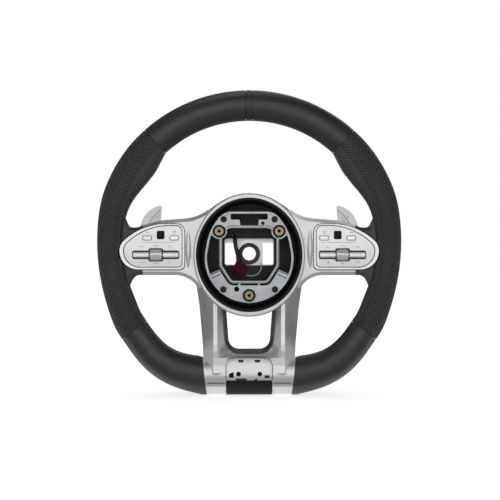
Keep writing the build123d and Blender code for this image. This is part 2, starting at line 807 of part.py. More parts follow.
def rocker_places():
    """Middles of the two rockers beside the right roller."""
    step = roller_length / 2 + 1.1 + rocker_length / 2
    return (roller_x - step, roller_x + step)


def switch_frame():
    """Bright frame round the right panel."""
    frame = slab(frame_outline(), frame_front_y, frame_back_y)
    frame = fillet(frame.faces().sort_by(Axis.Y)[0].edges(), frame_round)
    return frame - slab(panel_outline(panel_gap), frame_front_y - 5, frame_back_y + 5)


def switch_panel():
    """Right panel with its cut-outs and the fine line under the keys."""
    panel = slab(panel_outline(), panel_front_y, panel_front_y + panel_thickness)
    cuts = [Pos(x, key_z) * rounded(key_length + 2 * fit_gap, key_height + 2 * fit_gap, 1.4) for x in key_x]
    cuts.append(Pos(pad_x, pad_z) * rounded(pad_width + 2 * fit_gap, pad_height + 2 * fit_gap, 1.4))
    slot_length = 2 * (rocker_places()[1] - roller_x) + rocker_length + 2 * fit_gap
    cuts.append(Pos(roller_x, roller_z) * rounded(slot_length, rocker_height + 2 * rocker_reach(), 1.5))
    roller_room = rounded(roller_length + 4 * fit_gap, 2 * roller_radius + 2 * fit_gap, 1.5)
    cuts.append(Pos(roller_x, roller_z) * roller_room)
    for cut in cuts:
        panel = panel - slab(cut, panel_front_y - 5, panel_front_y + 5)
    line = Pos((key_x[0] + key_x[1]) / 2, divider_z) * Rectangle(divider_length, divider_width)
    return panel - slab(line, panel_front_y - 1, panel_front_y + divider_width)


def switch_housing():
    """Block behind the right panel, with pockets for everything that moves."""
    front = panel_front_y + panel_thickness
    body = slab(panel_outline(-fit_gap), front, housing_back_y)
    flange_back = front + seat_gap + flange_thickness
    grow = 2 * (flange + fit_gap)
    for x in key_x:
        room = Pos(x, key_z) * rounded(key_length + grow, key_height + grow, 1)
        body = body - slab(room, front - 1, flange_back + key_travel + fit_gap)
    room = Pos(pad_x, pad_z) * rounded(pad_width + grow, pad_height + grow, 1)
    body = body - slab(room, front - 1, flange_back + pad_travel + fit_gap)
    half = roller_length / 2
    body = body - rod_x(roller_x - half - fit_gap, roller_x + half + fit_gap, roller_y(), roller_z,
                        roller_radius + 2 * fit_gap)
    reach = half + axle_overhang + fit_gap
    body = body - rod_x(roller_x - reach, roller_x + reach, roller_y(), roller_z, axle_radius + running_gap)
    for x in rocker_places():
        half = rocker_length / 2 + fit_gap
        tall = rocker_height / 2 + rocker_reach()
        body = body - block(x - half, x + half, front - 1, front + 1.2, roller_z - tall, roller_z + tall)
        web = barrel_length() / 2 + fit_gap
        tall = rocker_web / 2 + rocker_reach()
        body = body - block(x - web, x + web, front - 1, rocker_y() + 3, roller_z - tall, roller_z + tall)
        reach = web + trunnion_length
        body = body - rod_x(x - reach, x + reach, rocker_y(), roller_z, trunnion_radius + running_gap)
    return body - horizontal_arm(part_gap)


def barrel_length():
    return rocker_length - 8.0


def key(x):
    """One key with its retaining flange."""
    front = panel_front_y + panel_thickness
    face = Pos(x, key_z) * rounded(key_length, key_height, 1.2)
    cap = slab(face, panel_front_y - key_proud, front + seat_gap)
    cap = fillet(cap.faces().sort_by(Axis.Y)[0].edges(), 0.5)
    rim = Pos(x, key_z) * rounded(key_length + 2 * flange, key_height + 2 * flange, 1.2)
    return cap + slab(rim, front + seat_gap, front + seat_gap + flange_thickness)


def touch_pad():
    """Touch pad with its retaining flange."""
    front = panel_front_y + panel_thickness
    cap = slab(Pos(pad_x, pad_z) * rounded(pad_width, pad_height, 1.2), panel_front_y - 0.5, front + seat_gap)
    cap = fillet(cap.faces().sort_by(Axis.Y)[0].edges(), 0.4)
    rim = Pos(pad_x, pad_z) * rounded(pad_width + 2 * flange, pad_height + 2 * flange, 1.2)
    return cap + slab(rim, front + seat_gap, front + seat_gap + flange_thickness)


def thumb_roller():
    """Fluted thumb roller with its stub axles."""
    half = roller_length / 2
    drum = rod_x(roller_x - half, roller_x + half, roller_y(), roller_z, roller_radius)
    drum = chamfer(drum.edges().filter_by(GeomType.CIRCLE), 0.7)
    flutes = []
    for turn in range(roller_flutes):
        at = 2 * math.pi * turn / roller_flutes
        y = roller_y() + roller_radius * math.cos(at)
        z = roller_z + roller_radius * math.sin(at)
        flutes.append(rod_x(roller_x - half + 1.5, roller_x + half - 1.5, y, z, flute_radius))
    reach = half + axle_overhang
    return drum - flutes + rod_x(roller_x - reach, roller_x + reach, roller_y(), roller_z, axle_radius)


def rocker(x):
    """One rocker: a blade between two finger troughs, on trunnions behind the panel."""
    half = rocker_height / 2
    blade = rocker_rib / 2
    face_y = panel_front_y - 0.3
    back_y = panel_front_y + rocker_thickness
    tip_y = panel_front_y - 1.6
    trough_y = panel_front_y + rocker_trough
    lip = half - 0.4
    root = blade + 0.3
    above = [(tip_y, blade), (trough_y, root), (trough_y, lip), (face_y, half), (back_y, half)]
    below = [(y, -z) for y, z in above[::-1]]
    plane = Plane(origin=(x - rocker_length / 2, 0, roller_z), x_dir=(0, 1, 0), z_dir=(1, 0, 0))
    bar = extrude(plane * make_face(Polyline(*above, *below, close=True)), amount=rocker_length)
    web = barrel_length() / 2
    half_web = rocker_web / 2
    bar = bar + block(x - web, x + web, back_y - 0.5, rocker_y(), roller_z - half_web, roller_z + half_web)
    bar = bar + rod_x(x - web, x + web, rocker_y(), roller_z, half_web + 0.5)
    reach = web + trunnion_length
    return bar + rod_x(x - reach, x + reach, rocker_y(), roller_z, trunnion_radius)


# Hub

def hub_shroud():
    """Black tub inside the hub ring, with a window onto the casting."""
    def tub(grow, front_y, back_y):
        wide = face_plane(front_y) * ring_oval(0, grow)
        narrow = face_plane(back_y) * ring_oval(0, grow - shroud_taper)
        return loft([wide, narrow], ruled=True)
    floor_back = shroud_floor_y + shroud_wall
    body = tub(-fit_gap, shroud_front_y, floor_back)
    body = body - tub(-fit_gap - shroud_wall, shroud_front_y - 0.01, shroud_floor_y)
    window = Pos(0, 2.2) * rounded(2 * slot_outer_x + 1.2, 33.4, 3)
    body = body - slab(window, shroud_floor_y - 5, floor_back + 5)
    tubes = []
    for x, z in post_places:
        tubes.append(rod_y(x, z, post_radius + 2, floor_back - 0.5, plate_front_y))
        tubes.append(rod_y(-x, z, post_radius + 2, floor_back - 0.5, plate_front_y))
    body = body + tubes
    for x, z in post_places:
        body = body - both_sides(rod_y(x, z, post_radius + fit_gap, shroud_floor_y - 5, plate_front_y + 1))
    return body - rod_y(lead_x, lead_z, lead_radius + 0.6, shroud_floor_y - 5, floor_back + 5)


def carrier_outline(grow=0.0):
    """Airbag carrier: round below, flatter above."""
    turn = 15.0
    side_x = carrier_radius * math.cos(math.radians(turn))
    side_z = carrier_centre_z + carrier_radius * math.sin(math.radians(turn))
    top = carrier_top_z
    flank = carrier_radius - 6.9
    shoulder = carrier_radius - 15.5
    turn_x = carrier_radius - 22.0
    top_x = carrier_radius - 30.5
    edges = [
        CenterArc((0, carrier_centre_z), carrier_radius, 180 - turn, 180 + 2 * turn),
        ThreePointArc((side_x, side_z), (flank, 27.5), (shoulder, 41.6)),
        ThreePointArc((shoulder, 41.6), (turn_x, 48.2), (top_x, top)),
        Line((top_x, top), (-top_x, top)),
        ThreePointArc((-top_x, top), (-turn_x, 48.2), (-shoulder, 41.6)),
        ThreePointArc((-shoulder, 41.6), (-flank, 27.5), (-side_x, side_z)),
    ]
    outline = closed_outline(*edges)
    return offset(outline, amount=grow) if grow else outline


def eye_outline(grow=0.0):
    """Eye of the carrier: round upper corners, sloping lower ones."""
    side = eye_half_width
    corners = [(side, eye_top_z), (side, -14), (21, eye_bottom_z), (-21, eye_bottom_z), (-side, -14),
               (-side, eye_top_z)]
    shape = make_face(Polyline(*corners, close=True))
    shape = fillet(shape.vertices().sort_by(Axis.Y)[-2:], eye_round)
    lower = [v for v in shape.vertices() if v.Y < -10]
    shape = fillet(lower, 5)
    return offset(shape, amount=grow) if grow else shape


def discs(places, radius):
    """Circles at several places, as one sketch."""
    shape = Pos(*places[0]) * Circle(radius)
    for place in places[1:]:
        shape = shape + Pos(*place) * Circle(radius)
    return shape


def airbag_carrier():
    """Light metal carrier: plate, two raised ribs, collars for the bushes, posts for the screws."""
    back = carrier_front_y + carrier_thickness
    eye = eye_outline()
    eye_ring = eye_outline(eye_rib)
    outline = carrier_outline()
    inner = carrier_outline(-rib_width)
    eye_edge = eye_outline(eye_rib + rib_ledge)
    collars = discs(bush_places, collar_radius)
    holes = discs(bush_places, bush_radius + bush_ring)
    posts = discs([(side * x, z) for x, z in post_places for side in (1, -1)], post_radius)
    bar_place = Pos(41.2, -25.6) * Rot(0, 0, -24)
    bar = bar_place * rounded(12.4, 2.4, 1)
    bar_slots = bar_place * (Pos(0, 2.2) * rounded(12, 1, 0.4) + Pos(0, -2.2) * rounded(12, 1, 0.4))
    pocket = [(34, 22), (60, 22), (60, -30), (49, -25.4), (35.5, -19), (30, -19)]
    pocket = make_face(Polyline(*pocket, close=True))
    gap_zone = [(38, -19), (38, -30), (24, -45), (0, -45), (0, -30), (16, -30), (30, -16)]
    gap_zone = make_face(Polyline(*gap_zone, close=True)) - Pos(12, -38) * Rectangle(2.4, 14)
    open_side = (pocket & carrier_outline(-rib_width - rib_ledge)) - eye_edge
    open_side = open_side + ((eye_outline(eye_rib + 3) - eye_edge) & gap_zone) + bar_slots
    tee = Pos(0, 45.4) * rounded(45.6, 7.2, 2) + Pos(0, 39) * Trapezoid(24, 8.4, 83, rotation=180)
    drilled = Pos(16.8, 37.4) * Circle(2.2) + Pos(-15.4, -43.4) * Circle(3.2)
    mark = Pos(39.2, -35) * (rounded(4.6, 4.6, 0.6) - rounded(2.8, 2.8, 0.4))
    plate = outline - eye - tee - drilled
    eye_wall = slab(eye_ring - eye, carrier_front_y - rib_height, carrier_front_y + 1)
    eye_wall = chamfer(eye_wall.faces().sort_by(Axis.Y)[0].edges(), eye_soft_edge)
    layers = [
        slab(outline - inner, carrier_front_y - rib_height + 1, carrier_front_y + 1),
        eye_wall,
        slab(collars, carrier_front_y - 2.5, back + 2),
        slab(posts, carrier_front_y - 1.5, plate_front_y),
        both_sides(slab(bar, carrier_front_y - 3, carrier_front_y + 1)),
    ]
    body = slab(plate, carrier_front_y, back) - both_sides(slab(open_side, carrier_front_y - 5, back + 5))
    for layer in layers:
        body = body + layer
    body = body - slab(holes, carrier_front_y - 2 * rib_height, back + rib_height)
    body = body - both_sides(slab(mark, carrier_front_y - 1, carrier_front_y + 1.2))
    for x, z in post_places:
        body = body - both_sides(rod_y(x, z, screw_head + fit_gap, -80, screw_seat_y))
        body = body - both_sides(rod_y(x, z, screw_radius + fit_gap, -80, 20))
    return body


def carrier_screws():
    """Four screws in the carrier's posts."""
    screws = []
    for x, z in post_places:
        head = rod_y(x, z, screw_head, screw_seat_y - screw_head_height, screw_seat_y)
        socket = Pos(x, z) * RegularPolygon(0.8 * screw_radius, 6)
        head = head - slab(socket, screw_seat_y - screw_head_height - 1, screw_seat_y - 1.5)
        screw = head + rod_y(x, z, screw_radius, screw_seat_y, plate_back_y)
        screws += [screw, left_of(screw)]
    return screws


def latch_bushes():
    """Three brass bushes that the airbag module's pins latch into."""
    bushes = []
    for x, z in bush_places:
        bush = rod_y(x, z, bush_radius, bush_front_y, bush_front_y + bush_length)
        bush = chamfer(bush.edges().filter_by(GeomType.CIRCLE), 0.7)
        bushes.append(bush - rod_y(x, z, bush_bore, bush_front_y - 5, bush_front_y + bush_length + 5))
    return bushes


def bush_rings():
    """Rubber rings between the bushes and the carrier."""
    rings = []
    for x, z in bush_places:
        back_y = bush_front_y + bush_length
        outer = rod_y(x, z, bush_radius + bush_ring - running_gap, bush_front_y + 2, back_y)
        rings.append(outer - rod_y(x, z, bush_radius + running_gap, bush_front_y - 5, 20))
    return rings


def hub_connector():
    """Dark red connector parked on the shroud's floor, with a socket for its lead."""
    width, depth, length = connector_size
    body = Box(width, depth, length)
    body = body - Pos(0, -3, -length / 2) * Box(0.74 * width, 0.5 * depth, 0.5 * length)
    ribs = [Pos(x, -depth / 2, 1) * Box(1.4, 1.6, 0.7 * length) for x in (-4, 0, 4)]
    latch = Pos(0, -depth / 2 - 0.9, 4) * Box(5, 2.2, 0.4 * length)
    body = body + ribs + latch
    place = Pos(connector_x, connector_y(), connector_z)
    return place * Rot(0, -connector_turn, 0) * body - lead_tube(lead_radius + running_gap)


def connector_y():
    return shroud_floor_y - connector_size[1] / 2


def lead_route():
    """Lead from behind the floor, over the web, into the connector's top."""
    lean = math.radians(connector_turn)
    across, along = lead_plug
    plug_x = connector_x + across * math.cos(lean) - along * math.sin(lean)
    plug_z = connector_z + across * math.sin(lean) + along * math.cos(lean)
    return [
        (lead_x, shroud_floor_y + 8, lead_z),
        (lead_x, shroud_floor_y - 7, lead_z),
        (lead_x + 1.5, shroud_floor_y - 9, lead_z - 15),
        (plug_x - 1.5, connector_y() - 1, plug_z + 8.5),
        (plug_x, connector_y(), plug_z),
    ]


def lead_tube(radius):
    """Round bar along the lead's route."""
    path = FilletPolyline(*lead_route(), radius=lead_bends)
    start = Plane(origin=path @ 0, z_dir=path % 0)
    return sweep(start * Circle(radius), path=path)


def connector_lead():
    """Sheathed lead of the connector."""
    return lead_tube(lead_radius)


def horn_wire():
    """Thin light wire along the shroud's floor, from the window's edge to a clip hole."""
    depth = shroud_floor_y - wire_radius - 0.2
    route = [(14.5, -12), (15, -19), (10.5, -25.6), (3.5, -27.6), (-3.5, -27)]
    path = FilletPolyline(*[(x, depth, z) for x, z in route], radius=wire_bends)
    start = Plane(origin=path @ 0, z_dir=path % 0)
    return sweep(start * Circle(wire_radius), path=path)


# Rear cover and paddles

def lower_wing_outline(inset):
    """Right lower wing seen from behind."""
    top_z = low_wing_top_z
    low_z = low_wing_end_z + inset
    outer = [(low_wing_outer[0] - inset, top_z), (low_wing_outer[1] - inset, low_z)]
    inner = [(low_wing_inner[1] + inset, low_z), (low_wing_inner[0] + inset, top_z)]
    return make_face(Polyline(*outer, *inner, close=True))


def lower_wing(inset):
    """Right lower wing of the rear cover, which slopes from the bowl towards the rim."""
    front = bezel_back_y + part_gap
    low_z = low_wing_end_z + inset
    back = FilletPolyline((low_wing_back_y - inset, low_wing_top_z), (low_wing_back_y - inset, -62.0),
                          (low_wing_knee_y - inset, -88.0), (wing_back_y - inset, low_z), radius=20.0)
    rest = Polyline((wing_back_y - inset, low_z), (front, low_z), (front, low_wing_top_z),
                    (low_wing_back_y - inset, low_wing_top_z))
    plane = Plane(origin=(0, 0, 0), x_dir=(0, 1, 0), z_dir=(1, 0, 0))
    profile = extrude(plane * make_face([back, rest]), amount=cover_radius)
    return slab(lower_wing_outline(inset), front, cover_back_y) & profile


def cover_bowl(inset):
    """Round bowl behind the hub, or its hollow when inset by the wall."""
    front = bezel_back_y + part_gap
    back = cover_back_y - inset
    mouth = (cover_radius - inset, front)
    waist = (cover_waist_radius - inset, cover_waist_y)
    side = FilletPolyline(mouth, waist, (cover_back_radius - inset, back), (0, back),
                          radius=[cover_waist_round - inset, cover_back_round - inset])
    inside = Polyline((0, back), (0, front), mouth)
    return Pos(0, 0, ring_centre_z) * revolve(make_face([side, inside]), axis=Axis.Y)


def side_wing(inset):
    """Right wing of the rear cover behind the side spoke."""
    front = bezel_back_y + part_gap
    if inset:
        return slab(offset(side_spoke_outline(), amount=-inset), front, wing_back_y - inset)
    wing = slab(side_spoke_outline(), front, wing_back_y)
    back_edges = wing.faces().sort_by(Axis.Y)[-1].edges()
    return fillet([edge for edge in back_edges if edge.center().X > cover_opening + 9], cover_wall)


def cover_body(inset):
    """Outside of the rear cover, or its hollow when inset by the wall."""
    return cover_bowl(inset) + both_sides(side_wing(inset)) + both_sides(lower_wing(inset))


def rear_cover():
    """Black back shell of the hub and spokes, with the ears of the paddles and four screw bosses."""
    shell = cover_body(0)
    ear_z = barrel_half + fit_gap
    ear_end = paddle_pivot_x + barrel_radius + 1.5
    for z0, z1 in ((ear_z, ear_z + ear_thickness), (-ear_z - ear_thickness, -ear_z)):
        ear = block(62, ear_end, wing_back_y - 1, paddle_pivot_y + barrel_radius + 1, z0, z1)
        shell = shell + both_sides(ear)
    shell = shell - cover_body(cover_wall)
    bosses = []
    for x, z in cover_screw_places:
        boss = rod_y(x, z, cover_screw_head + 1.2, plate_back_y + part_gap, cover_back_y - 0.5)
        bosses += [boss, left_of(boss)]
    shell = shell + bosses
    shell = shell - slab(Circle(cover_opening), -20, 40)
    for x, z in cover_screw_places:
        shell = shell - both_sides(rod_y(x, z, cover_screw_radius + fit_gap, -20, 40))
        seat_y = cover_back_y - cover_screw_sink
        shell = shell - both_sides(rod_y(x, z, cover_screw_head + fit_gap, seat_y, 40))
    reach = ear_z + ear_thickness + 1
    shell = shell - both_sides(rod_z(paddle_pivot_x, paddle_pivot_y, -reach, reach, pin_radius + running_gap))
    return shell - both_sides(horizontal_arm(part_gap)) - both_sides(lower_arm(part_gap))


def cover_screws():
    """Four screws of the rear cover."""
    screws = []
    for x, z in cover_screw_places:
        seat_y = cover_back_y - cover_screw_sink
        head = rod_y(x, z, cover_screw_head, seat_y, seat_y + cover_screw_height)
        screw = head + rod_y(x, z, cover_screw_radius, plate_front_y, seat_y)
        screws += [screw, left_of(screw)]
    return screws


def paddle_blade():
    """Right blade seen from the front: straight inner edge, round outer one."""
    edges = [
        Line((108.2, 57), (109.7, 38)),
        Line((109.7, 38), (104, 14)),
        Line((104, 14), (104, -14)),
        Line((104, -14), (110, -20)),
        Line((110, -20), (126, -20)),
        ThreePointArc((126, -20), (132.4, -18), (134.7, -13)),
        Line((134.7, -13), (134.7, 32)),
        ThreePointArc((134.7, 32), (127.7, 49), (112.2, 59)),
        ThreePointArc((112.2, 59), (109.3, 59), (108.2, 57)),
    ]
    return closed_outline(*edges)


def paddle():
    """Right shift paddle: blade with a raised outer crescent, arm and pivot barrel."""
    back = paddle_front_y + paddle_thickness
    blade = slab(paddle_blade(), paddle_front_y, back)
    hollow = Pos(85.7, 6) * Ellipse(42, 54)
    zone = Pos(121.7, 22) * Rectangle(40, 80)
    crescent = (paddle_blade() - hollow) & zone
    blade = blade + slab(crescent, paddle_front_y - paddle_step, back)
    crease = (hollow - Pos(85.7, 6) * Ellipse(42 - paddle_crease, 54 - paddle_crease)) & zone
    blade = blade - slab(crease, paddle_front_y - 2, paddle_front_y + paddle_crease)
    arm = block(paddle_pivot_x, 106, paddle_front_y, back, -11, 11)
    barrel = rod_z(paddle_pivot_x, paddle_pivot_y, -barrel_half, barrel_half, barrel_radius)
    bore = rod_z(paddle_pivot_x, paddle_pivot_y, -30, 30, pin_radius + running_gap)
    return blade + arm + barrel - bore


def paddle_pins():
    """Pivot pins of both paddles."""
    reach = barrel_half + fit_gap + ear_thickness
    pin = rod_z(paddle_pivot_x, paddle_pivot_y, -reach, reach, pin_radius)
    return [pin, left_of(pin)]


def all_parts():
    """Every node of the wheel by its name."""
    parts = {
        "armature": armature(),
        "side_arms": side_arms(),
        "lower_arms": lower_arms(),
        "rim_core": rim_core(),
        "hub_insert": hub_insert(),
        "rim_foam": rim_foam(),
        "spoke_bezel": spoke_bezel(),
        "lower_spokes": lower_spokes(),
        "badge_plate": badge_plate(),
        "bottom_pad": bottom_pad(),
        "lower_back_cover": lower_back_cover(),
        "hub_shroud": hub_shroud(),
        "airbag_carrier": airbag_carrier(),
        "carrier_screws": carrier_screws(),
        "latch_bushes": latch_bushes(),
        "bush_rings": bush_rings(),
        "hub_connector": hub_connector(),
        "connector_lead": connector_lead(),
        "horn_wire": horn_wire(),
        "rear_cover": rear_cover(),
        "cover_screws": cover_screws(),
        "paddle_pins": paddle_pins(),
    }
    parts.update(wrap_panels())
    inner_rocker, outer_rocker = rocker_places()
    paired = {
        "switch_frame": switch_frame(),
        "switch_panel": switch_panel(),
        "switch_housing": switch_housing(),
        "inner_key": key(key_x[0]),
        "outer_key": key(key_x[1]),
        "touch_pad": touch_pad(),
        "thumb_roller": thumb_roller(),
        "inner_rocker": rocker(inner_rocker),
        "outer_rocker": rocker(outer_rocker),
        "paddle": paddle(),
    }
    for name, shape in paired.items():
        parts["right_" + name] = shape
        parts["left_" + name] = left_of(shape)
    return parts


os.makedirs("parts", exist_ok=True)
for name, shape in all_parts().items():
    solids = shape if isinstance(shape, list) else [shape]
    solids = [solid for item in solids for solid in item.solids()]
    whole = solids[0] if len(solids) == 1 else Compound(children=solids)
    export_step(whole, "parts/" + name + ".step")
print("bends of the lead, mm:", lead_bends, "and of the wire:", wire_bends)
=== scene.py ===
import bpy
import bmesh
import json
import math
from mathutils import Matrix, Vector
from mathutils.bvhtree import BVHTree


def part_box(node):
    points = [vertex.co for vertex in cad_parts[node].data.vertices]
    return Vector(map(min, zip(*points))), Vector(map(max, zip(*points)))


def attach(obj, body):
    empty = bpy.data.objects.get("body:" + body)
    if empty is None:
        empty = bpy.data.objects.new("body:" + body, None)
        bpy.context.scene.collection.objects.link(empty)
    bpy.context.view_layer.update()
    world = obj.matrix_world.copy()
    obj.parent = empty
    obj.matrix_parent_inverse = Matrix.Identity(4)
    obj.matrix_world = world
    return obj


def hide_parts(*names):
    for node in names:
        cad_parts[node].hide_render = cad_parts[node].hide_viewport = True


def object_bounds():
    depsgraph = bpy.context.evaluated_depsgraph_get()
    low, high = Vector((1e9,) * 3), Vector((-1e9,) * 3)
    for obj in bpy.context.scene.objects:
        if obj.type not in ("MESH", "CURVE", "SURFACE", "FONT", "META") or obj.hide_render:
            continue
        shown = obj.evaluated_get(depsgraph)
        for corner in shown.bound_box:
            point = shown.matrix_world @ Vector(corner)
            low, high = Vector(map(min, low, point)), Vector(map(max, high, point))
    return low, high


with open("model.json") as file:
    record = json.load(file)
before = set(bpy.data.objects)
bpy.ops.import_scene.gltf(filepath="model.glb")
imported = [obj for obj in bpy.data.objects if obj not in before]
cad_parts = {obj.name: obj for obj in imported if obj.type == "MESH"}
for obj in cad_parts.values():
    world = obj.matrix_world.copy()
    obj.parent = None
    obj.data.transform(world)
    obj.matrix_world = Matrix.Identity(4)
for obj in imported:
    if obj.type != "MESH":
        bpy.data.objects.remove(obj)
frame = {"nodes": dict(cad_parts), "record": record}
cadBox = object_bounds()
record = frame["record"]
nodes = frame["nodes"]
scene = bpy.context.scene
scene.view_settings.view_transform = "Standard"
print("frame loaded:", len(nodes), "nodes")

mm = 0.001

# camera: straight on, long lens
cameraSetup = {
    "distance": 2.0,        # from the rim's middle plane
    "rimDepth": -0.050,
    "fieldWidth": 0.6085,   # metres across the picture at the rim
    "aimX": 0.0010,
    "aimZ": 0.0046,
    "sensor": 36.0,
}
cameraData = bpy.data.cameras.new("frontCamera")
cameraData.sensor_width = cameraSetup["sensor"]
cameraData.lens = cameraSetup["sensor"] * cameraSetup["distance"] / cameraSetup["fieldWidth"]
camera = bpy.data.objects.new("frontCamera", cameraData)
camera.location = (cameraSetup["aimX"], cameraSetup["rimDepth"] - cameraSetup["distance"], cameraSetup["aimZ"])
camera.rotation_euler = (math.radians(90), 0, 0)
scene.collection.objects.link(camera)
scene.camera = camera
print("camera set")


def aimed(piece, at, aim):
    piece.location = at
    piece.rotation_euler = (Vector(aim) - Vector(at)).to_track_quat("-Z", "Y").to_euler()
    scene.collection.objects.link(piece)


# lamps: a wide soft box behind the camera, one overhead, one behind
lampSetup = [
    {"name": "frontLamp", "at": (0.0, -2.5, 0.30), "aim": (0.0, 0.0, 0.0), "size": (2.8, 1.9), "glow": 1.12},
    {"name": "topLamp", "at": (-0.15, 0.10, 1.9), "aim": (0.0, -0.05, 0.0), "size": (1.4, 0.5), "glow": 1.8},
    {"name": "backLamp", "at": (0.3, 1.4, 1.0), "aim": (0.0, 0.0, 0.0), "size": (1.2, 0.8), "glow": 1.0},
]
for setup in lampSetup:
    lampData = bpy.data.lights.new(setup["name"], "AREA")
    lampData.shape = "RECTANGLE"
    lampData.size, lampData.size_y = setup["size"]
    lampData.energy = setup["glow"] * math.pi * setup["size"][0] * setup["size"][1]  # glow is the face's radiance
    aimed(bpy.data.objects.new(setup["name"], lampData), setup["at"], setup["aim"])


# 1 for rays that see the white studio: camera, gloss and glass
def studioRays(tree):
    path = tree.nodes.new("ShaderNodeLightPath").outputs
    seen = path["Is Camera Ray"]
    for kind in ("Is Glossy Ray", "Is Transmission Ray"):
        larger = tree.nodes.new("ShaderNodeMath")
        larger.operation = "MAXIMUM"
        tree.links.new(seen, larger.inputs[0])
        tree.links.new(path[kind], larger.inputs[1])
        seen = larger.outputs[0]
    return seen


def rayLevel(tree, low, high):
    level = tree.nodes.new("ShaderNodeMapRange")
    level.inputs["To Min"].default_value = low
    level.inputs["To Max"].default_value = high
    tree.links.new(studioRays(tree), level.inputs["Value"])
    return level.outputs["Result"]


worldSetup = {"light": 0.34, "seen": 1.0}
world = bpy.data.worlds.new("studio")
scene.world = world
world.use_nodes = True
background = world.node_tree.nodes["Background"]
background.inputs["Color"].default_value = (1, 1, 1, 1)
world.node_tree.links.new(rayLevel(world.node_tree, worldSetup["light"], worldSetup["seen"]),
                          background.inputs["Strength"])

# floor: white to the camera, and it keeps the shadow
floorSetup = {"half": 12.0, "colour": (0.9, 0.9, 0.9, 1), "rough": 0.9, "lift": 0.75, "nearLift": 0.62,
              "near": 0.3, "far": 1.6}
floorLevel = cadBox[0][2]
floorMesh = bpy.data.meshes.new("floor")
half = floorSetup["half"]
floorMesh.from_pydata([(-half, -half, floorLevel), (half, -half, floorLevel), (half, half, floorLevel),
                       (-half, half, floorLevel)], [], [(0, 1, 2, 3)])
floor = bpy.data.objects.new("floor", floorMesh)
scene.collection.objects.link(floor)
floorMaterial = bpy.data.materials.new("paleFloor")
floorMaterial.use_nodes = True
floorShader = floorMaterial.node_tree.nodes["Principled BSDF"]
floorShader.inputs["Base Color"].default_value = floorSetup["colour"]
floorShader.inputs["Roughness"].default_value = floorSetup["rough"]
floorShader.inputs["Specular IOR Level"].default_value = 0.0
floorShader.inputs["Emission Color"].default_value = (1, 1, 1, 1)
floorTree = floorMaterial.node_tree
floorPlace = floorTree.nodes.new("ShaderNodeTexCoord")
floorReach = floorTree.nodes.new("ShaderNodeVectorMath")
floorReach.operation = "LENGTH"
floorTree.links.new(floorPlace.outputs["Object"], floorReach.inputs[0])
floorLift = floorTree.nodes.new("ShaderNodeMapRange")   # more lift away from the lamps
for label, value in (("From Min", "near"), ("From Max", "far"), ("To Min", "nearLift"), ("To Max", "lift")):
    floorLift.inputs[label].default_value = floorSetup[value]
floorTree.links.new(floorReach.outputs["Value"], floorLift.inputs["Value"])
floorSeen = floorTree.nodes.new("ShaderNodeMath")
floorSeen.operation = "MULTIPLY"
floorTree.links.new(floorLift.outputs["Result"], floorSeen.inputs[0])
floorTree.links.new(studioRays(floorTree), floorSeen.inputs[1])
floorTree.links.new(floorSeen.outputs[0], floorShader.inputs["Emission Strength"])
floorMesh.materials.append(floorMaterial)

# studio flags: grey cards that only reflections see, for contrast in metal and leather
cardSetup = [
    # behind the front lamp, which lets reflections through
    {"name": "frontCard", "at": (0.0, -2.75, 0.33), "size": (3.8, 2.6), "grey": 0.02, "aim": (0.0, -0.05, 0.0)},
    {"name": "topCard", "at": (0.0, -0.2, 1.95), "size": (4.4, 4.6), "grey": 0.08, "aim": (0.0, -0.2, 0.0)},
    {"name": "leftCard", "at": (-1.9, -0.2, 0.8), "size": (4.2, 2.2), "grey": 0.38, "aim": (0.0, -0.2, 0.8)},
    {"name": "rightCard", "at": (1.9, -0.2, 0.8), "size": (4.2, 2.2), "grey": 0.38, "aim": (0.0, -0.2, 0.8)},
    {"name": "backCard", "at": (0.0, 2.4, 0.9), "size": (4.6, 2.0), "grey": 0.08, "aim": (0.0, 0.0, 0.9)},
    {"name": "lowCard", "at": (0.0, -0.92, -0.168), "size": (3.4, 1.7), "grey": 0.32, "aim": (0.0, -0.92, 1.0)},
    {"name": "lowBackCard", "at": (0.0, 0.86, -0.168), "size": (3.4, 1.7), "grey": 0.32, "aim": (0.0, 0.86, 1.0)},
]
for setup in cardSetup:
    wide, tall = setup["size"][0] / 2, setup["size"][1] / 2
    cardMesh = bpy.data.meshes.new(setup["name"])
    cardMesh.from_pydata([(-wide, -tall, 0), (wide, -tall, 0), (wide, tall, 0), (-wide, tall, 0)], [],
                         [(0, 1, 2, 3)])
    card = bpy.data.objects.new(setup["name"], cardMesh)
    aimed(card, setup["at"], setup["aim"])
    card.visible_camera = False
    card.visible_diffuse = False
    card.visible_shadow = False
    card.visible_transmission = False
    cardMaterial = bpy.data.materials.new(setup["name"])
    cardMaterial.use_nodes = True
    cardShader = cardMaterial.node_tree.nodes["Principled BSDF"]
    cardShader.inputs["Base Color"].default_value = (0, 0, 0, 1)
    cardShader.inputs["Specular IOR Level"].default_value = 0.0
    cardShader.inputs["Emission Color"].default_value = (1, 1, 1, 1)
    cardShader.inputs["Emission Strength"].default_value = setup["grey"]
    cardMesh.materials.append(cardMaterial)
print("light and floor set")


# node helpers
def calc(tree, operation, first, second=0.0, third=None):
    node = tree.nodes.new("ShaderNodeMath")
    node.operation = operation
    for place, value in enumerate((first, second, third)):
        if value is None:
            continue
        if isinstance(value, (int, float)):
            node.inputs[place].default_value = value
        else:
            tree.links.new(value, node.inputs[place])
    return node.outputs[0]


def ramp(tree, value, low, high, toLow, toHigh):
    node = tree.nodes.new("ShaderNodeMapRange")
    node.interpolation_type = "SMOOTHSTEP"
    for label, number in (("From Min", low), ("From Max", high), ("To Min", toLow), ("To Max", toHigh)):
        if isinstance(number, (int, float)):
            node.inputs[label].default_value = number
        else:
            tree.links.new(number, node.inputs[label])
    tree.links.new(value, node.inputs["Value"])
    return node.outputs["Result"]


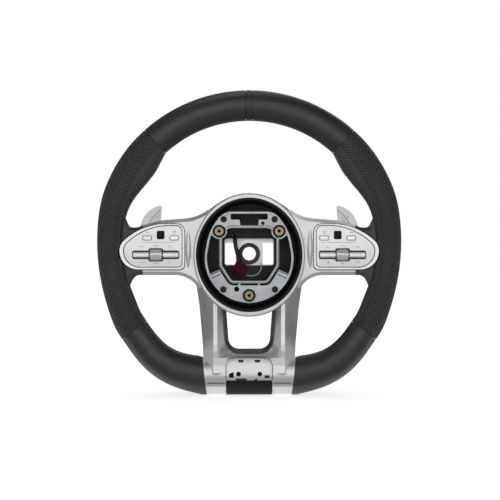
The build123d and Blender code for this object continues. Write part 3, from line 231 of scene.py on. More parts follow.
def noise(tree, scale, detail):
    node = tree.nodes.new("ShaderNodeTexNoise")
    node.inputs["Detail"].default_value = detail
    if isinstance(scale, (int, float)):
        node.inputs["Scale"].default_value = scale
    else:
        tree.links.new(scale, node.inputs["Scale"])
    tree.links.new(tree.nodes.new("ShaderNodeTexCoord").outputs["Object"], node.inputs["Vector"])
    return node.outputs["Fac"]


def makeGroup(name, inputs, outputs):
    tree = bpy.data.node_groups.new(name, "ShaderNodeTree")
    for label, value in inputs:
        socket = tree.interface.new_socket(name=label, in_out="INPUT", socket_type="NodeSocketFloat")
        socket.default_value = value
    for label in outputs:
        tree.interface.new_socket(name=label, in_out="OUTPUT", socket_type="NodeSocketFloat")
    return tree, tree.nodes.new("NodeGroupInput").outputs, tree.nodes.new("NodeGroupOutput").inputs


# leather grain: pebbles with fine creases between them, and slow shine changes
grainSetup = {"uneven": 0.9, "fineScale": 2400.0, "fineShare": 0.25, "shineScale": 38.0}
grainTree, given, put = makeGroup("leatherGrain", [("Cells", 620.0), ("Crease", 0.22)],
                                  ["Height", "Crease", "Shine"])
grainCells = grainTree.nodes.new("ShaderNodeTexVoronoi")
grainCells.feature = "DISTANCE_TO_EDGE"
grainCells.inputs["Randomness"].default_value = grainSetup["uneven"]
grainCoord = grainTree.nodes.new("ShaderNodeTexCoord")
grainTree.links.new(grainCoord.outputs["Object"], grainCells.inputs["Vector"])
grainTree.links.new(given["Cells"], grainCells.inputs["Scale"])
pebble = ramp(grainTree, grainCells.outputs["Distance"], 0.0, given["Crease"], 0.0, 1.0)
fineNoise = noise(grainTree, grainSetup["fineScale"], 2.0)
grainTree.links.new(calc(grainTree, "MULTIPLY_ADD", fineNoise, grainSetup["fineShare"], pebble), put["Height"])
grainTree.links.new(calc(grainTree, "SUBTRACT", 1.0, pebble), put["Crease"])
grainTree.links.new(noise(grainTree, grainSetup["shineScale"], 3.0), put["Shine"])

# perforation: staggered holes laid round the rim's tube
perforationSetup = {
    "tubeRadius": 0.017,
    "softEdge": 0.09,               # share of the pitch
    "offset": 40.0,                 # whole pitches, keeps the count above zero
    "innerEdge": (0.150, 0.153),    # no holes nearer to the hub
    "smoothSide": (-0.72, -0.50),   # nor on the side of the tube towards the hub, -1 there and 1 outside
}
perforationTree, given, put = makeGroup(
    "rimPerforation", [("Pitch", 0.0026), ("Hole", 0.30), ("Rim Radius", 0.1695), ("Rim Height", 0.0136),
                       ("Rim Depth", -0.050)], ["Hole"])
spot = perforationTree.nodes.new("ShaderNodeSeparateXYZ")
spotCoord = perforationTree.nodes.new("ShaderNodeTexCoord")
perforationTree.links.new(spotCoord.outputs["Object"], spot.inputs["Vector"])
rise = calc(perforationTree, "SUBTRACT", spot.outputs["Z"], given["Rim Height"])
reach = calc(perforationTree, "SQRT", calc(perforationTree, "ADD",
             calc(perforationTree, "MULTIPLY", spot.outputs["X"], spot.outputs["X"]),
             calc(perforationTree, "MULTIPLY", rise, rise)))
turn = calc(perforationTree, "ARCTAN2", rise, calc(perforationTree, "ABSOLUTE", spot.outputs["X"]))
tubeOut = calc(perforationTree, "SUBTRACT", reach, given["Rim Radius"])
tubeBack = calc(perforationTree, "SUBTRACT", spot.outputs["Y"], given["Rim Depth"])
tubeTurn = calc(perforationTree, "ARCTAN2", tubeOut, calc(perforationTree, "MULTIPLY", tubeBack, -1.0))
along = calc(perforationTree, "DIVIDE",
             calc(perforationTree, "MULTIPLY", turn, given["Rim Radius"]), given["Pitch"])
across = calc(perforationTree, "DIVIDE",
              calc(perforationTree, "MULTIPLY", tubeTurn, perforationSetup["tubeRadius"]), given["Pitch"])


def holeDistance(shift):
    ways = []
    for way in (along, across):
        part = calc(perforationTree, "FRACT", calc(perforationTree, "ADD", way, perforationSetup["offset"] + shift))
        part = calc(perforationTree, "SUBTRACT", part, 0.5)
        ways.append(calc(perforationTree, "MULTIPLY", part, part))
    return calc(perforationTree, "SQRT", calc(perforationTree, "ADD", ways[0], ways[1]))


nearest = calc(perforationTree, "MINIMUM", holeDistance(0.0), holeDistance(0.5))
softEdge = calc(perforationTree, "ADD", given["Hole"], perforationSetup["softEdge"])
hole = ramp(perforationTree, nearest, given["Hole"], softEdge, 1.0, 0.0)
outShare = calc(perforationTree, "SINE", tubeTurn)
field = calc(perforationTree, "MULTIPLY", ramp(perforationTree, reach, *perforationSetup["innerEdge"], 0.0, 1.0),
             ramp(perforationTree, outShare, *perforationSetup["smoothSide"], 0.0, 1.0))
perforationTree.links.new(calc(perforationTree, "MULTIPLY", hole, field), put["Hole"])

# satin metal and moulded plastic: fine surface noise with slow shine changes
satinTree, given, put = makeGroup("satinSurface", [("Fine", 1800.0), ("Slow", 30.0)], ["Height", "Shine"])
satinTree.links.new(noise(satinTree, given["Fine"], 3.0), put["Height"])
satinTree.links.new(noise(satinTree, given["Slow"], 4.0), put["Shine"])


def placeGroup(tree, group, **values):
    node = tree.nodes.new("ShaderNodeGroup")
    node.node_tree = group
    for label, value in values.items():
        node.inputs[label].default_value = value
    return node.outputs


def mixColour(tree, factor, first, second):
    node = tree.nodes.new("ShaderNodeMix")
    node.data_type = "RGBA"
    for place, colour in ((6, first), (7, second)):
        if isinstance(colour, tuple):
            node.inputs[place].default_value = (*colour, 1)
        else:
            tree.links.new(colour, node.inputs[place])
    tree.links.new(factor, node.inputs[0])
    return node.outputs[2]


def newMaterial(name, setup):
    material = bpy.data.materials.new(name)
    material.use_nodes = True
    tree = material.node_tree
    shader = tree.nodes["Principled BSDF"]
    shader.inputs["Metallic"].default_value = setup.get("metal", 0.0)
    shader.inputs["Specular IOR Level"].default_value = setup.get("specular", 0.5)
    return material, tree, shader


def addBump(tree, shader, height, depth):
    bump = tree.nodes.new("ShaderNodeBump")
    bump.inputs["Distance"].default_value = depth
    tree.links.new(height, bump.inputs["Height"])
    tree.links.new(bump.outputs["Normal"], shader.inputs["Normal"])


# part of the slow noise that the roughness follows
shineSpan = {"leather": (0.3, 0.7), "satin": (0.25, 0.75)}


def leatherMaterial(name, setup):
    material, tree, shader = newMaterial(name, setup)
    grain = placeGroup(tree, grainTree, Cells=setup["cells"], Crease=setup["crease"])
    colour = mixColour(tree, grain["Crease"], setup["colour"], setup["dark"])
    rough = ramp(tree, grain["Shine"], *shineSpan["leather"], *setup["rough"])
    height = grain["Height"]
    if setup.get("pitch"):
        dots = placeGroup(tree, perforationTree, Pitch=setup["pitch"], Hole=setup["hole"])
        colour = mixColour(tree, dots["Hole"], colour, setup["holeColour"])
        rough = calc(tree, "MULTIPLY_ADD", dots["Hole"], setup["holeRough"], rough)
        height = calc(tree, "MULTIPLY_ADD", dots["Hole"], -setup["holeDepth"], height)
    tree.links.new(colour, shader.inputs["Base Color"])
    tree.links.new(rough, shader.inputs["Roughness"])
    addBump(tree, shader, height, setup["depth"])
    return material


def heightOver(tree):
    place = tree.nodes.new("ShaderNodeSeparateXYZ")
    tree.links.new(tree.nodes.new("ShaderNodeTexCoord").outputs["Object"], place.inputs["Vector"])
    return place.outputs["Z"]


bladeEdge = 0.2 * mm   # width of the change of colour beside a blade


# fade: painted shade, a second and darker colour towards a lower height, as (height, height, colour)
# blade: painted shade in the troughs, another colour beyond half a width from a middle height, as (height, half
# width, colour)
def surfaceMaterial(name, setup):
    material, tree, shader = newMaterial(name, setup)
    satin = placeGroup(tree, satinTree, Fine=setup["fine"], Slow=setup["slow"])
    colour = mixColour(tree, satin["Shine"], setup["colour"], setup["dark"])
    # painted shade, darker towards a lower height
    if "fade" in setup:
        low, high, tint = setup["fade"]
        colour = mixColour(tree, ramp(tree, heightOver(tree), low, high, 1.0, 0.0), colour, tint)
    # painted shade in the troughs beside the blade
    if "blade" in setup:
        middle, halfBlade, tint = setup["blade"]
        away = calc(tree, "ABSOLUTE", calc(tree, "SUBTRACT", heightOver(tree), middle))
        colour = mixColour(tree, ramp(tree, away, halfBlade, halfBlade + bladeEdge, 0.0, 1.0), colour, tint)
    rough = ramp(tree, satin["Shine"], *shineSpan["satin"], *setup["rough"])
    tree.links.new(colour, shader.inputs["Base Color"])
    tree.links.new(rough, shader.inputs["Roughness"])
    addBump(tree, shader, satin["Height"], setup["depth"])
    return material


leatherSetup = {
    "smooth_leather": {"colour": (0.0095, 0.0098, 0.0112), "dark": (0.004, 0.004, 0.0045), "cells": 620.0,
                       "crease": 0.25, "rough": (0.34, 0.43), "depth": 0.00008, "specular": 1.0},
    "marker_leather": {"colour": (0.012, 0.0122, 0.0138), "dark": (0.006, 0.006, 0.0065), "cells": 680.0,
                       "crease": 0.25, "rough": (0.38, 0.48), "depth": 0.00007, "specular": 0.9},
    # painted sheen: the perforated leather is given a lighter colour than the smooth leather, for the sheen on its
    # perforated face
    "perforated_leather": {"colour": (0.046, 0.0465, 0.050), "dark": (0.018, 0.018, 0.019), "cells": 620.0,
                           "crease": 0.25, "rough": (0.40, 0.50), "depth": 0.00010, "specular": 0.9,
                           "pitch": 0.0042, "hole": 0.22, "holeColour": (0.002, 0.002, 0.002), "holeDepth": 3.0,
                           "holeRough": 0.4},
}
surfaceSetup = {
    "foam": {"colour": (0.02, 0.02, 0.02), "dark": (0.012, 0.012, 0.012), "fine": 900.0, "slow": 60.0,
             "rough": (0.8, 0.95), "depth": 0.0002},
    "cast_metal": {"colour": (0.80, 0.81, 0.82), "dark": (0.68, 0.69, 0.70), "metal": 1.0, "fine": 900.0,
                   "slow": 45.0, "rough": (0.30, 0.42), "depth": 0.00002},
    "carrier_plate": {"colour": (0.58, 0.60, 0.63), "dark": (0.50, 0.52, 0.55), "metal": 0.85, "fine": 1500.0,
                      "slow": 60.0, "rough": (0.30, 0.42), "depth": 0.00001},
    "dark_steel": {"colour": (0.06, 0.06, 0.065), "dark": (0.035, 0.035, 0.04), "metal": 1.0, "fine": 1500.0,
                   "slow": 80.0, "rough": (0.30, 0.45), "depth": 0.00003},
    "satin_silver": {"colour": (0.80, 0.805, 0.81), "dark": (0.75, 0.755, 0.76), "metal": 0.7, "fine": 2600.0,
                     "slow": 24.0, "rough": (0.25, 0.31), "depth": 0.0000006},
    "paddle_silver": {"colour": (0.64, 0.645, 0.65), "dark": (0.58, 0.585, 0.59), "metal": 1.0, "fine": 2600.0,
                      "slow": 40.0, "rough": (0.30, 0.38), "depth": 0.0000006},
    "bright_frame": {"colour": (0.74, 0.745, 0.75), "dark": (0.70, 0.705, 0.71), "metal": 1.0, "fine": 2600.0,
                     "slow": 30.0, "rough": (0.14, 0.19), "depth": 0.000002},
    # painted shade: the switch silver turns darker and bluer towards the bottom of the pack
    "switch_silver": {"colour": (0.90, 0.905, 0.91), "dark": (0.86, 0.865, 0.87), "metal": 0.7, "fine": 3000.0,
                      "slow": 40.0, "rough": (0.28, 0.34), "depth": 0.0000006,
                      "fade": (-0.020, 0.014, (0.74, 0.76, 0.79))},
    "key_silver": {"colour": (0.88, 0.885, 0.89), "dark": (0.83, 0.835, 0.84), "metal": 0.8, "fine": 3000.0,
                   "slow": 60.0, "rough": (0.20, 0.26), "depth": 0.0000006},
    # painted shade: the rocker silver is darker in the troughs beside its bright blade
    "rocker_silver": {"colour": (0.86, 0.865, 0.87), "dark": (0.81, 0.815, 0.82), "metal": 0.85, "fine": 3000.0,
                      "slow": 60.0, "rough": (0.20, 0.26), "depth": 0.0000006,
                      "blade": (-0.0013, 0.0009, (0.55, 0.56, 0.58))},
    "roller_silver": {"colour": (0.86, 0.865, 0.87), "dark": (0.80, 0.805, 0.81), "metal": 0.8, "fine": 3000.0,
                      "slow": 60.0, "rough": (0.26, 0.34), "depth": 0.0000006},
    "gloss_black": {"colour": (0.003, 0.003, 0.003), "dark": (0.002, 0.002, 0.002), "fine": 600.0, "slow": 50.0,
                    "rough": (0.20, 0.28), "depth": 0.000004, "specular": 0.15},
    "black_plastic": {"colour": (0.012, 0.012, 0.013), "dark": (0.008, 0.008, 0.009), "fine": 2200.0,
                      "slow": 50.0, "rough": (0.45, 0.58), "depth": 0.00007, "specular": 0.35},
    "brass": {"colour": (0.38, 0.32, 0.165), "dark": (0.28, 0.235, 0.12), "metal": 1.0, "fine": 1600.0,
              "slow": 140.0, "rough": (0.24, 0.36), "depth": 0.00003},
    "black_rubber": {"colour": (0.013, 0.013, 0.013), "dark": (0.009, 0.009, 0.009), "fine": 1400.0,
                     "slow": 90.0, "rough": (0.55, 0.70), "depth": 0.00005, "specular": 0.3},
    "dark_red_plastic": {"colour": (0.120, 0.002, 0.022), "dark": (0.040, 0.001, 0.008), "fine": 1800.0,
                         "slow": 90.0, "rough": (0.30, 0.42), "depth": 0.00003, "specular": 0.08},
    "light_wire": {"colour": (0.62, 0.62, 0.58), "dark": (0.54, 0.54, 0.50), "fine": 1500.0, "slow": 120.0,
                   "rough": (0.45, 0.55), "depth": 0.00002},
    # painted shade of the window's bevel
    "lining_grey": {"colour": (0.075, 0.077, 0.082), "dark": (0.045, 0.046, 0.05), "fine": 1800.0, "slow": 40.0,
                    "rough": (0.5, 0.62), "depth": 0.00001, "specular": 0.3},
    "lead_sheath": {"colour": (0.030, 0.030, 0.031), "dark": (0.008, 0.008, 0.008), "fine": 900.0, "slow": 700.0,
                    "rough": (0.35, 0.55), "depth": 0.0002, "specular": 0.5},
    "panel_print": {"colour": (0.24, 0.245, 0.25), "dark": (0.19, 0.195, 0.20), "fine": 2600.0, "slow": 80.0,
                    "rough": (0.45, 0.55), "depth": 0.00001},
    "joint_shadow": {"colour": (0.05, 0.05, 0.055), "dark": (0.03, 0.03, 0.033), "fine": 2600.0, "slow": 80.0,
                     "rough": (0.55, 0.7), "depth": 0.00001, "specular": 0.2},
    "sewing_thread": {"colour": (0.030, 0.030, 0.031), "dark": (0.016, 0.016, 0.016), "fine": 5200.0, "slow": 260.0,
                      "rough": (0.55, 0.7), "depth": 0.00006, "specular": 0.3},
}
finishes = {}
for name, setup in leatherSetup.items():
    finishes[name] = leatherMaterial(name, setup)
for name, setup in surfaceSetup.items():
    finishes[name] = surfaceMaterial(name, setup)
print("finishes made:", len(finishes))

# every CAD node takes its finish by its slot, a few have one of their own
ownFinish = {"airbag_carrier": "carrier_plate", "left_paddle": "paddle_silver", "right_paddle": "paddle_silver"}
for side in ("left_", "right_"):
    for name in ("inner_key", "outer_key"):
        ownFinish[side + name] = "key_silver"
    for name in ("inner_rocker", "outer_rocker"):
        ownFinish[side + name] = "rocker_silver"
    ownFinish[side + "thumb_roller"] = "roller_silver"
nodeFinish = {row["node"]: row["material_slot"] for row in record["subparts"]}
for name, piece in nodes.items():
    finish = ownFinish.get(name, nodeFinish[name])
    piece.data.materials.clear()
    piece.data.materials.append(finishes[finish])
print("CAD nodes dressed:", len(nodeFinish))


# pieces made here
def addPiece(name, bm, finish, body):
    bmesh.ops.recalc_face_normals(bm, faces=bm.faces)
    mesh = bpy.data.meshes.new(name)
    bm.to_mesh(mesh)
    bm.free()
    mesh.materials.append(finishes[finish])
    piece = bpy.data.objects.new(name, mesh)
    scene.collection.objects.link(piece)
    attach(piece, body)


def surfaceTree(names):
    verts, faces = [], []
    for name in names:
        start = len(verts)
        verts += [v.co.copy() for v in nodes[name].data.vertices]
        faces += [[start + i for i in p.vertices] for p in nodes[name].data.polygons]
    return BVHTree.FromPolygons(verts, faces)


viewFrom = -0.2   # y in front of everything


# first face seen from the front at a point (x, z) in mm
def frontHit(faces, x, z):
    return faces.ray_cast(Vector((x * mm, viewFrom, z * mm)), Vector((0, 1, 0)))[0]


# points (x, z) in mm laid on the faces seen from the front, and sunk
def laidPoints(faces, places, sink):
    hits = [frontHit(faces, x, z) for x, z in places]
    return [hit + Vector((0, sink * mm, 0)) for hit in hits if hit is not None]


# a straight stroke on a face that looks forwards, between two points (x, z), with its width in mm
def addStroke(bm, start, end, width, front, back):
    start, end = Vector(start), Vector(end)
    run = (end - start).normalized() * width / 2
    side = Vector((-run.y, run.x))
    corners = [start - run + side, start - run - side, end + run - side, end + run + side]
    rows = [[bm.verts.new((c.x * mm, depth, c.y * mm)) for c in corners] for depth in (front, back)]
    bm.faces.new(rows[0])
    bm.faces.new(rows[1])
    for i in range(4):
        j = (i + 1) % 4
        bm.faces.new((rows[0][i], rows[0][j], rows[1][j], rows[1][i]))


rodSetup = {"sides": 6, "taper": 0.55, "aside": (0.31, 0.87, 0.38)}   # aside: no rod runs that way


def addRod(bm, points, radius):
    sides = rodSetup["sides"]
    last = len(points) - 1
    rings = []
    for i, point in enumerate(points):
        run = (points[min(i + 1, last)] - points[max(i - 1, 0)]).normalized()
        across = run.cross(Vector(rodSetup["aside"])).normalized()
        up = run.cross(across)
        size = radius * (rodSetup["taper"] if i in (0, last) else 1.0)
        angles = [2 * math.pi * k / sides for k in range(sides)]
        rings.append([bm.verts.new(point + (across * math.cos(t) + up * math.sin(t)) * size) for t in angles])
    for first, second in zip(rings, rings[1:]):
        for k in range(sides):
            bm.faces.new((first[k - 1], first[k], second[k], second[k - 1]))
    bm.faces.new(rings[0])
    bm.faces.new(rings[-1])


flatWithin = 0.02 * mm   # how level a flat front is
leastCorner = 1.2        # keeps sharp corners of a grown loop short


# outlines of the flat front of a node, each as a loop of points (x, z)
def frontLoops(name):
    mesh = nodes[name].data
    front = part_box(name)[0].y
    uses = {}
    for face in mesh.polygons:
        corners = [mesh.vertices[i].co for i in face.vertices]
        if max(abs(c.y - front) for c in corners) > flatWithin:
            continue
        keys = [(round(c.x, 6), round(c.z, 6)) for c in corners]
        for i in range(len(keys)):
            edge = tuple(sorted((keys[i - 1], keys[i])))
            uses[edge] = uses.get(edge, 0) + 1
    beside = {}
    for (a, b), count in uses.items():
        if count == 1 and a != b:
            beside.setdefault(a, []).append(b)
            beside.setdefault(b, []).append(a)
    loops = []
    left = set(beside)
    while left:
        start = min(left)
        loop, last, here = [start], None, start
        while True:
            left.discard(here)
            ways = [p for p in beside[here] if p != last and (p in left or p == start)]
            if not ways or (ways[0] == start and len(loop) < 3):
                break
            last, here = here, ways[0]
            if here == start:
                break
            loop.append(here)
        if len(loop) > 2:
            loops.append(loop)
    return loops, front


# the loop moved sideways, outwards where the amount is positive
def grownLoop(loop, amount):
    count = len(loop)
    area = sum(loop[i - 1][0] * loop[i][1] - loop[i][0] * loop[i - 1][1] for i in range(count))
    sign = 1 if area > 0 else -1
    points = []
    for i in range(count):
        before = (Vector(loop[i]) - Vector(loop[i - 1])).normalized()
        after = (Vector(loop[(i + 1) % count]) - Vector(loop[i])).normalized()
        out = Vector((before.y + after.y, -before.x - after.x)) * sign
        size = max(out.length, leastCorner)
        points.append(Vector(loop[i]) + out * (2 * amount / (size * size)))
    return points


# a flat band beside a loop
def addRibbon(bm, loop, near, far, front, back):
    rings = []
    for amount in (near, far):
        points = grownLoop(loop, amount)
        rings.append([[bm.verts.new((p.x, depth, p.y)) for p in points] for depth in (front, back)])
    for i in range(len(loop)):
        j = i - 1
        ring = (rings[0][0], rings[1][0], rings[1][1], rings[0][1])
        for k in range(4):
            bm.faces.new((ring[k][j], ring[k][i], ring[(k + 1) % 4][i], ring[(k + 1) % 4][j]))


# printed signs of the switch packs, plain strokes in mm round a middle point
markSetup = {
    "width": 0.5, "dividerWidth": 0.3, "proud": 0.06, "sink": 0.1,
    "arrow": [((-1.8, -0.5), (0.4, 0.3)), ((0.4, 0.3), (1.8, -0.4)), ((1.8, -0.4), (0.9, -0.6))],
    "square": [((-1.2, -1.2), (1.2, -1.2)), ((1.2, -1.2), (1.2, 1.2)), ((1.2, 1.2), (-1.2, 1.2)),
               ((-1.2, 1.2), (-1.2, -1.2))],
    "bars": [((-2.4, -0.8), (-2.4, 0.8)), ((-0.8, -0.8), (-0.8, 0.8)), ((0.8, -0.8), (0.8, 0.8)),
             ((2.4, -0.8), (2.4, 0.8))],
    "dashes": [((-3.2, 0.0), (-1.8, 0.0)), ((-0.7, 0.0), (0.7, 0.0)), ((1.8, 0.0), (3.2, 0.0))],
    "slash": [((-1.6, 1.2), (0.6, -1.0)), ((1.4, -0.9), (2.0, -0.9))],
    "bow": [((-2.0, -0.8), (-0.8, 0.5)), ((-0.8, 0.5), (0.8, 0.5)), ((0.8, 0.5), (2.0, -0.8))],
    "drop": [((0.0, 1.5), (-1.1, -0.3)), ((-1.1, -0.3), (0.0, -1.3)), ((0.0, -1.3), (1.1, -0.3)),
             ((1.1, -0.3), (0.0, 1.5))],
    "plus": [((-1.2, 0.0), (1.2, 0.0)), ((0.0, -1.2), (0.0, 1.2))],
    "minus": [((-1.2, 0.0), (1.2, 0.0))],
    "divider": [((-20.5, 0.0), (20.5, 0.0))],
}
panelMarks = {
    "left": [("square", -91.0, 26.2), ("arrow", -124.0, 26.0), ("dashes", -131.0, 8.6), ("bars", -113.4, 9.6),
             ("slash", -96.6, 9.0), ("dashes", -130.0, -10.4), ("bars", -113.4, -11.6), ("slash", -96.6, -10.0),
             ("divider", -111.0, 13.6)],
    "right": [("square", 91.0, 26.2), ("arrow", 124.0, 26.0), ("slash", 95.6, 8.0), ("dashes", 113.4, 9.6),
              ("bow", 132.0, 8.4), ("drop", 96.0, -10.4), ("plus", 113.4, -11.8), ("bow", 132.0, -10.2),
              ("divider", 108.0, 13.6)],
}


def addSign(bm, sign, x, z, front):
    width = markSetup["dividerWidth" if sign == "divider" else "width"]
    for start, end in markSetup[sign]:
        addStroke(bm, (x + start[0], z + start[1]), (x + end[0], z + end[1]), width,
                  front - markSetup["proud"] * mm, front + markSetup["sink"] * mm)


# painted shade: dark bands along the panel's edge and openings, where its joints are in shade, from and to in mm
# beside the outline
ribbonSetup = {"proud": 0.05, "sink": 0.1, "border": (-0.05, -0.85), "roller": (0.05, 0.95), "other": (0.05, 0.5),
               "rollerHeight": 11.0, "leastHeight": 2.0}
for side in ("left", "right"):
    loops, front = frontLoops(side + "_switch_panel")
    bm = bmesh.new()
    for sign, x, z in panelMarks[side]:
        addSign(bm, sign, x, z, front)
    addPiece(side + "PanelMarks", bm, "panel_print", "wheel")
    bm = bmesh.new()
    tall = [(max(p[1] for p in loop) - min(p[1] for p in loop)) / mm for loop in loops]
    for loop, height in zip(loops, tall):
        if height < ribbonSetup["leastHeight"]:
            continue
        kind = "other"
        if height == max(tall):
            kind = "border"
        elif height > ribbonSetup["rollerHeight"]:
            kind = "roller"
        near, far = ribbonSetup[kind]
        addRibbon(bm, loop, near * mm, far * mm, front - ribbonSetup["proud"] * mm,
                  front + ribbonSetup["sink"] * mm)
    print(side, "panel outlines:", [round(h, 1) for h in tall])
    addPiece(side + "PanelJoints", bm, "joint_shadow", "wheel")

# sign on the front of each paddle, and painted shade in its crease as a dark rod
paddleSetup = {
    "signs": {"left_paddle": ("minus", -121.5, 45.0), "right_paddle": ("plus", 121.5, 45.0)},
    "crease": [(124.5, 36.0), (119.0, 47.0), (108.8, 55.0)],   # ends and middle of a bend, on the right
    "steps": 16, "radius": 0.5, "sink": 0.3,
}
for name, (sign, x, z) in paddleSetup["signs"].items():
    faces = surfaceTree([name])
    bm = bmesh.new()
    addSign(bm, sign, x, z, frontHit(faces, x, z).y)
    addPiece(name + "Mark", bm, "panel_print", name)
    way = 1 if x > 0 else -1
    bend = [Vector((way * bendX, bendZ)) for bendX, bendZ in paddleSetup["crease"]]
    shares = [i / paddleSetup["steps"] for i in range(paddleSetup["steps"] + 1)]
    places = [bend[0] * (1 - t) ** 2 + bend[1] * 2 * t * (1 - t) + bend[2] * t * t for t in shares]
    # painted shade along the crease
    bm = bmesh.new()
    addRod(bm, laidPoints(faces, places, paddleSetup["sink"]), paddleSetup["radius"] * mm)
    addPiece(name + "Crease", bm, "joint_shadow", name)
print("signs and joints made")

# painted shade: a dark sheet on the sloping wall of the window between the lower spokes, where its bevel is in shade
bevelShadeSetup = {"halfTop": 29.4, "halfLow": 24.6, "top": -52.0, "low": -116.2, "corner": 13.0, "from": -64.0,
               "sill": -36.2, "slope": 7.0 / 36.0, "clear": 0.12, "thick": 0.4, "probe": 5.5, "steps": 12}


# points of the window's edge with their way out, down the right side and up the left
def windowOutline():
    keys = ("halfTop", "halfLow", "top", "low", "corner")
    halfTop, halfLow, top, low, corner = (bevelShadeSetup[key] for key in keys)
    start, steps = bevelShadeSetup["from"], bevelShadeSetup["steps"]
    lean = math.atan2(halfTop - halfLow, top - low)
    middle = Vector((halfLow - corner / math.cos(lean) + corner * math.tan(lean), low + corner))
    end = middle.y - corner * math.sin(lean)
    points = []
    for i in range(steps + 1):
        z = start + (end - start) * i / steps
        points.append((Vector((halfLow + (halfTop - halfLow) * (z - low) / (top - low), z)),
                       Vector((math.cos(lean), -math.sin(lean)))))
    for i in range(1, steps + 1):
        angle = -lean - (math.pi / 2 - lean) * i / steps
        out = Vector((math.cos(angle), math.sin(angle)))
        points.append((middle + out * corner, out))
    return points + [(Vector((-p.x, p.y)), Vector((-out.x, out.y))) for p, out in reversed(points)]


spokeFaces = surfaceTree(["lower_spokes"])
# the window bevel's painted shade
bevelShadeMesh = bmesh.new()
rows = []
for place, out in windowOutline():
    hit = frontHit(spokeFaces, *(place + out * bevelShadeSetup["probe"]))
    if hit is None:
        continue
    grow = (bevelShadeSetup["sill"] - hit.y / mm) * bevelShadeSetup["slope"] - bevelShadeSetup["clear"]
    corners = []
    for amount, depth in ((grow, hit.y), (-bevelShadeSetup["clear"], bevelShadeSetup["sill"] * mm)):
        for sunk in (0.0, bevelShadeSetup["thick"]):
            corner = place + out * (amount + sunk)
            corners.append(bevelShadeMesh.verts.new((corner.x * mm, depth, corner.y * mm)))
    rows.append((corners[0], corners[2], corners[3], corners[1]))
for first, second in zip(rows, rows[1:]):
    for k in range(4):
        bevelShadeMesh.faces.new((first[k - 1], first[k], second[k], second[k - 1]))
bevelShadeMesh.faces.new(rows[0])
bevelShadeMesh.faces.new(rows[-1])
addPiece("windowLining", bevelShadeMesh, "lining_grey", "wheel")
print("window lined:", len(rows))

# trim plate at six o'clock: painted shade as dark rods and strokes, in the joint round it, in the groove across each
# foot and in its clip slots
plateSetup = {"halfWidth": 28.2, "top": -124.9, "low": -152.6, "corner": 12.0, "sideSteps": 10, "cornerSteps": 14,
              "radius": 0.5, "sink": 0.2}
footSetup = {"near": 28.8, "far": 53.4, "z": -156.4, "steps": 12, "radius": 0.42, "sink": 0.12}
slotSetup = {"width": 2.6, "proud": 0.05, "sink": 1.2, "beside": 2.2,
             "runs": [((-12.0, -129.8), (-8.0, -129.8)), ((8.0, -129.8), (12.0, -129.8)),
                      ((-14.8, -151.4), (-4.4, -151.4)), ((8.2, -151.6), (8.6, -151.6)),
                      ((19.8, -148.4), (23.4, -148.4))]}


def plateOutline():
    half, top, low, corner = (plateSetup[key] for key in ("halfWidth", "top", "low", "corner"))
    sideSteps, cornerSteps = plateSetup["sideSteps"], plateSetup["cornerSteps"]
    points = [(-half, low + (top - corner - low) * i / sideSteps) for i in range(sideSteps)]
    for i in range(cornerSteps + 1):
        angle = math.pi - math.pi / 2 * i / cornerSteps
        points.append((-half + corner + corner * math.cos(angle), top - corner + corner * math.sin(angle)))
    return points + [(-x, z) for x, z in reversed(points)]


plateShade = bmesh.new()
addRod(plateShade, laidPoints(spokeFaces, plateOutline(), plateSetup["sink"]), plateSetup["radius"] * mm)
footStep = (footSetup["far"] - footSetup["near"]) / footSetup["steps"]
for way in (-1, 1):
    places = [(way * (footSetup["near"] + footStep * i), footSetup["z"]) for i in range(footSetup["steps"] + 1)]
    addRod(plateShade, laidPoints(spokeFaces, places, footSetup["sink"]), footSetup["radius"] * mm)
trimFaces = surfaceTree(["badge_plate", "lower_spokes"])
# painted shade in the clip slots
for start, end in slotSetup["runs"]:
    hits = [frontHit(trimFaces, x, start[1]) for x in (start[0] - slotSetup["beside"], end[0] + slotSetup["beside"])]
    front = min(hit.y for hit in hits if hit is not None) - slotSetup["proud"] * mm
    addStroke(plateShade, start, end, slotSetup["width"], front, front + slotSetup["sink"] * mm)
addPiece("trimPlateJoint", plateShade, "joint_shadow", "wheel")
print("trim plate lined")
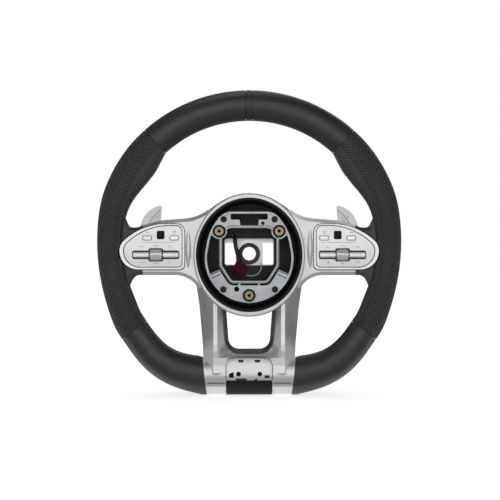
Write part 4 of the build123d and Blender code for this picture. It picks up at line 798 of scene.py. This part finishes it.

# sewn seam round the inside of the rim: a sunk line of painted shade, and slanted stitches across it
seamSetup = {
    "centre": (0.0, -0.050, 0.0136), "radius": 0.152,
    "step": 4.0, "half": 1.7, "lean": 1.1, "thread": 0.36, "groove": 0.42, "lift": 0.05,   # mm
    "top": 0.5, "foot": 0.4, "arch": 0.9,   # heights of a stitch, in threads
    "least": 0.128, "facing": 0.86,
    "clear": 0.55,                          # clear of the spokes, as a sine
}
leather = surfaceTree([name for name, finish in nodeFinish.items() if finish.endswith("_leather")])
seamCentre = Vector(seamSetup["centre"])
steps = round(2 * math.pi * seamSetup["radius"] / (seamSetup["step"] * mm))
seamPlaces = []
for i in range(steps):
    angle = 2 * math.pi * i / steps
    out = Vector((math.cos(angle), 0, math.sin(angle)))
    hit, normal, face, distance = leather.ray_cast(seamCentre, out)
    good = hit is not None and distance > seamSetup["least"] and -normal.dot(out) > seamSetup["facing"]
    good = good and abs(math.sin(angle)) > seamSetup["clear"]
    seamPlaces.append((hit, normal) if good else None)
stitches = bmesh.new()
groove = bmesh.new()
thread = seamSetup["thread"] * mm
back = Vector((0, 1, 0))
run = []
for i in range(steps + 1):
    here, after = seamPlaces[i % steps], seamPlaces[(i + 1) % steps]
    if here:
        run.append(here[0] + here[1] * seamSetup["lift"] * mm)
    if (here is None or i == steps) and len(run) > 2:
        addRod(groove, run, seamSetup["groove"] * mm)
    if here is None:
        run = []
    if here and after and i < steps:
        ahead = (after[0] - here[0]).normalized()
        top = here[0] + ahead * seamSetup["lean"] * mm + here[1] * thread * seamSetup["top"]
        for way in (-1, 1):
            near = leather.find_nearest(here[0] + back * way * seamSetup["half"] * mm)
            foot = near[0] - near[1] * thread * seamSetup["foot"]
            middle = (foot + top) / 2 + here[1] * thread * seamSetup["arch"]
            addRod(stitches, [foot, middle, top], thread)
addPiece("rimStitches", stitches, "sewing_thread", "wheel")
addPiece("rimSeam", groove, "joint_shadow", "wheel")
print("rim seam sewn:", sum(1 for place in seamPlaces if place), "places")

# lead of the connector, through the same points as its solid
leadSetup = {"route": [(-18.2, -8.0, 23.0), (-18.2, -23.0, 23.0), (-16.7, -25.0, 8.0), (-13.4, -21.5, -3.0),
                       (-11.9, -20.5, -11.5)], "radius": 2.5, "smooth": 10, "round": 5}
leadCurve = bpy.data.curves.new("connectorLead", "CURVE")
leadCurve.dimensions = "3D"
leadSpline = leadCurve.splines.new("NURBS")
leadSpline.points.add(len(leadSetup["route"]) - 1)
for point, place in zip(leadSpline.points, leadSetup["route"]):
    point.co = (*(value * mm for value in place), 1)
leadSpline.order_u = 3
leadSpline.use_endpoint_u = True
leadSpline.resolution_u = leadSetup["smooth"]
leadCurve.bevel_depth = leadSetup["radius"] * mm
leadCurve.bevel_resolution = leadSetup["round"]
leadCurve.use_fill_caps = True
leadCurve.materials.append(finishes["lead_sheath"])
lead = bpy.data.objects.new("connectorLead", leadCurve)
scene.collection.objects.link(lead)
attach(lead, "wheel")
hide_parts("connector_lead")
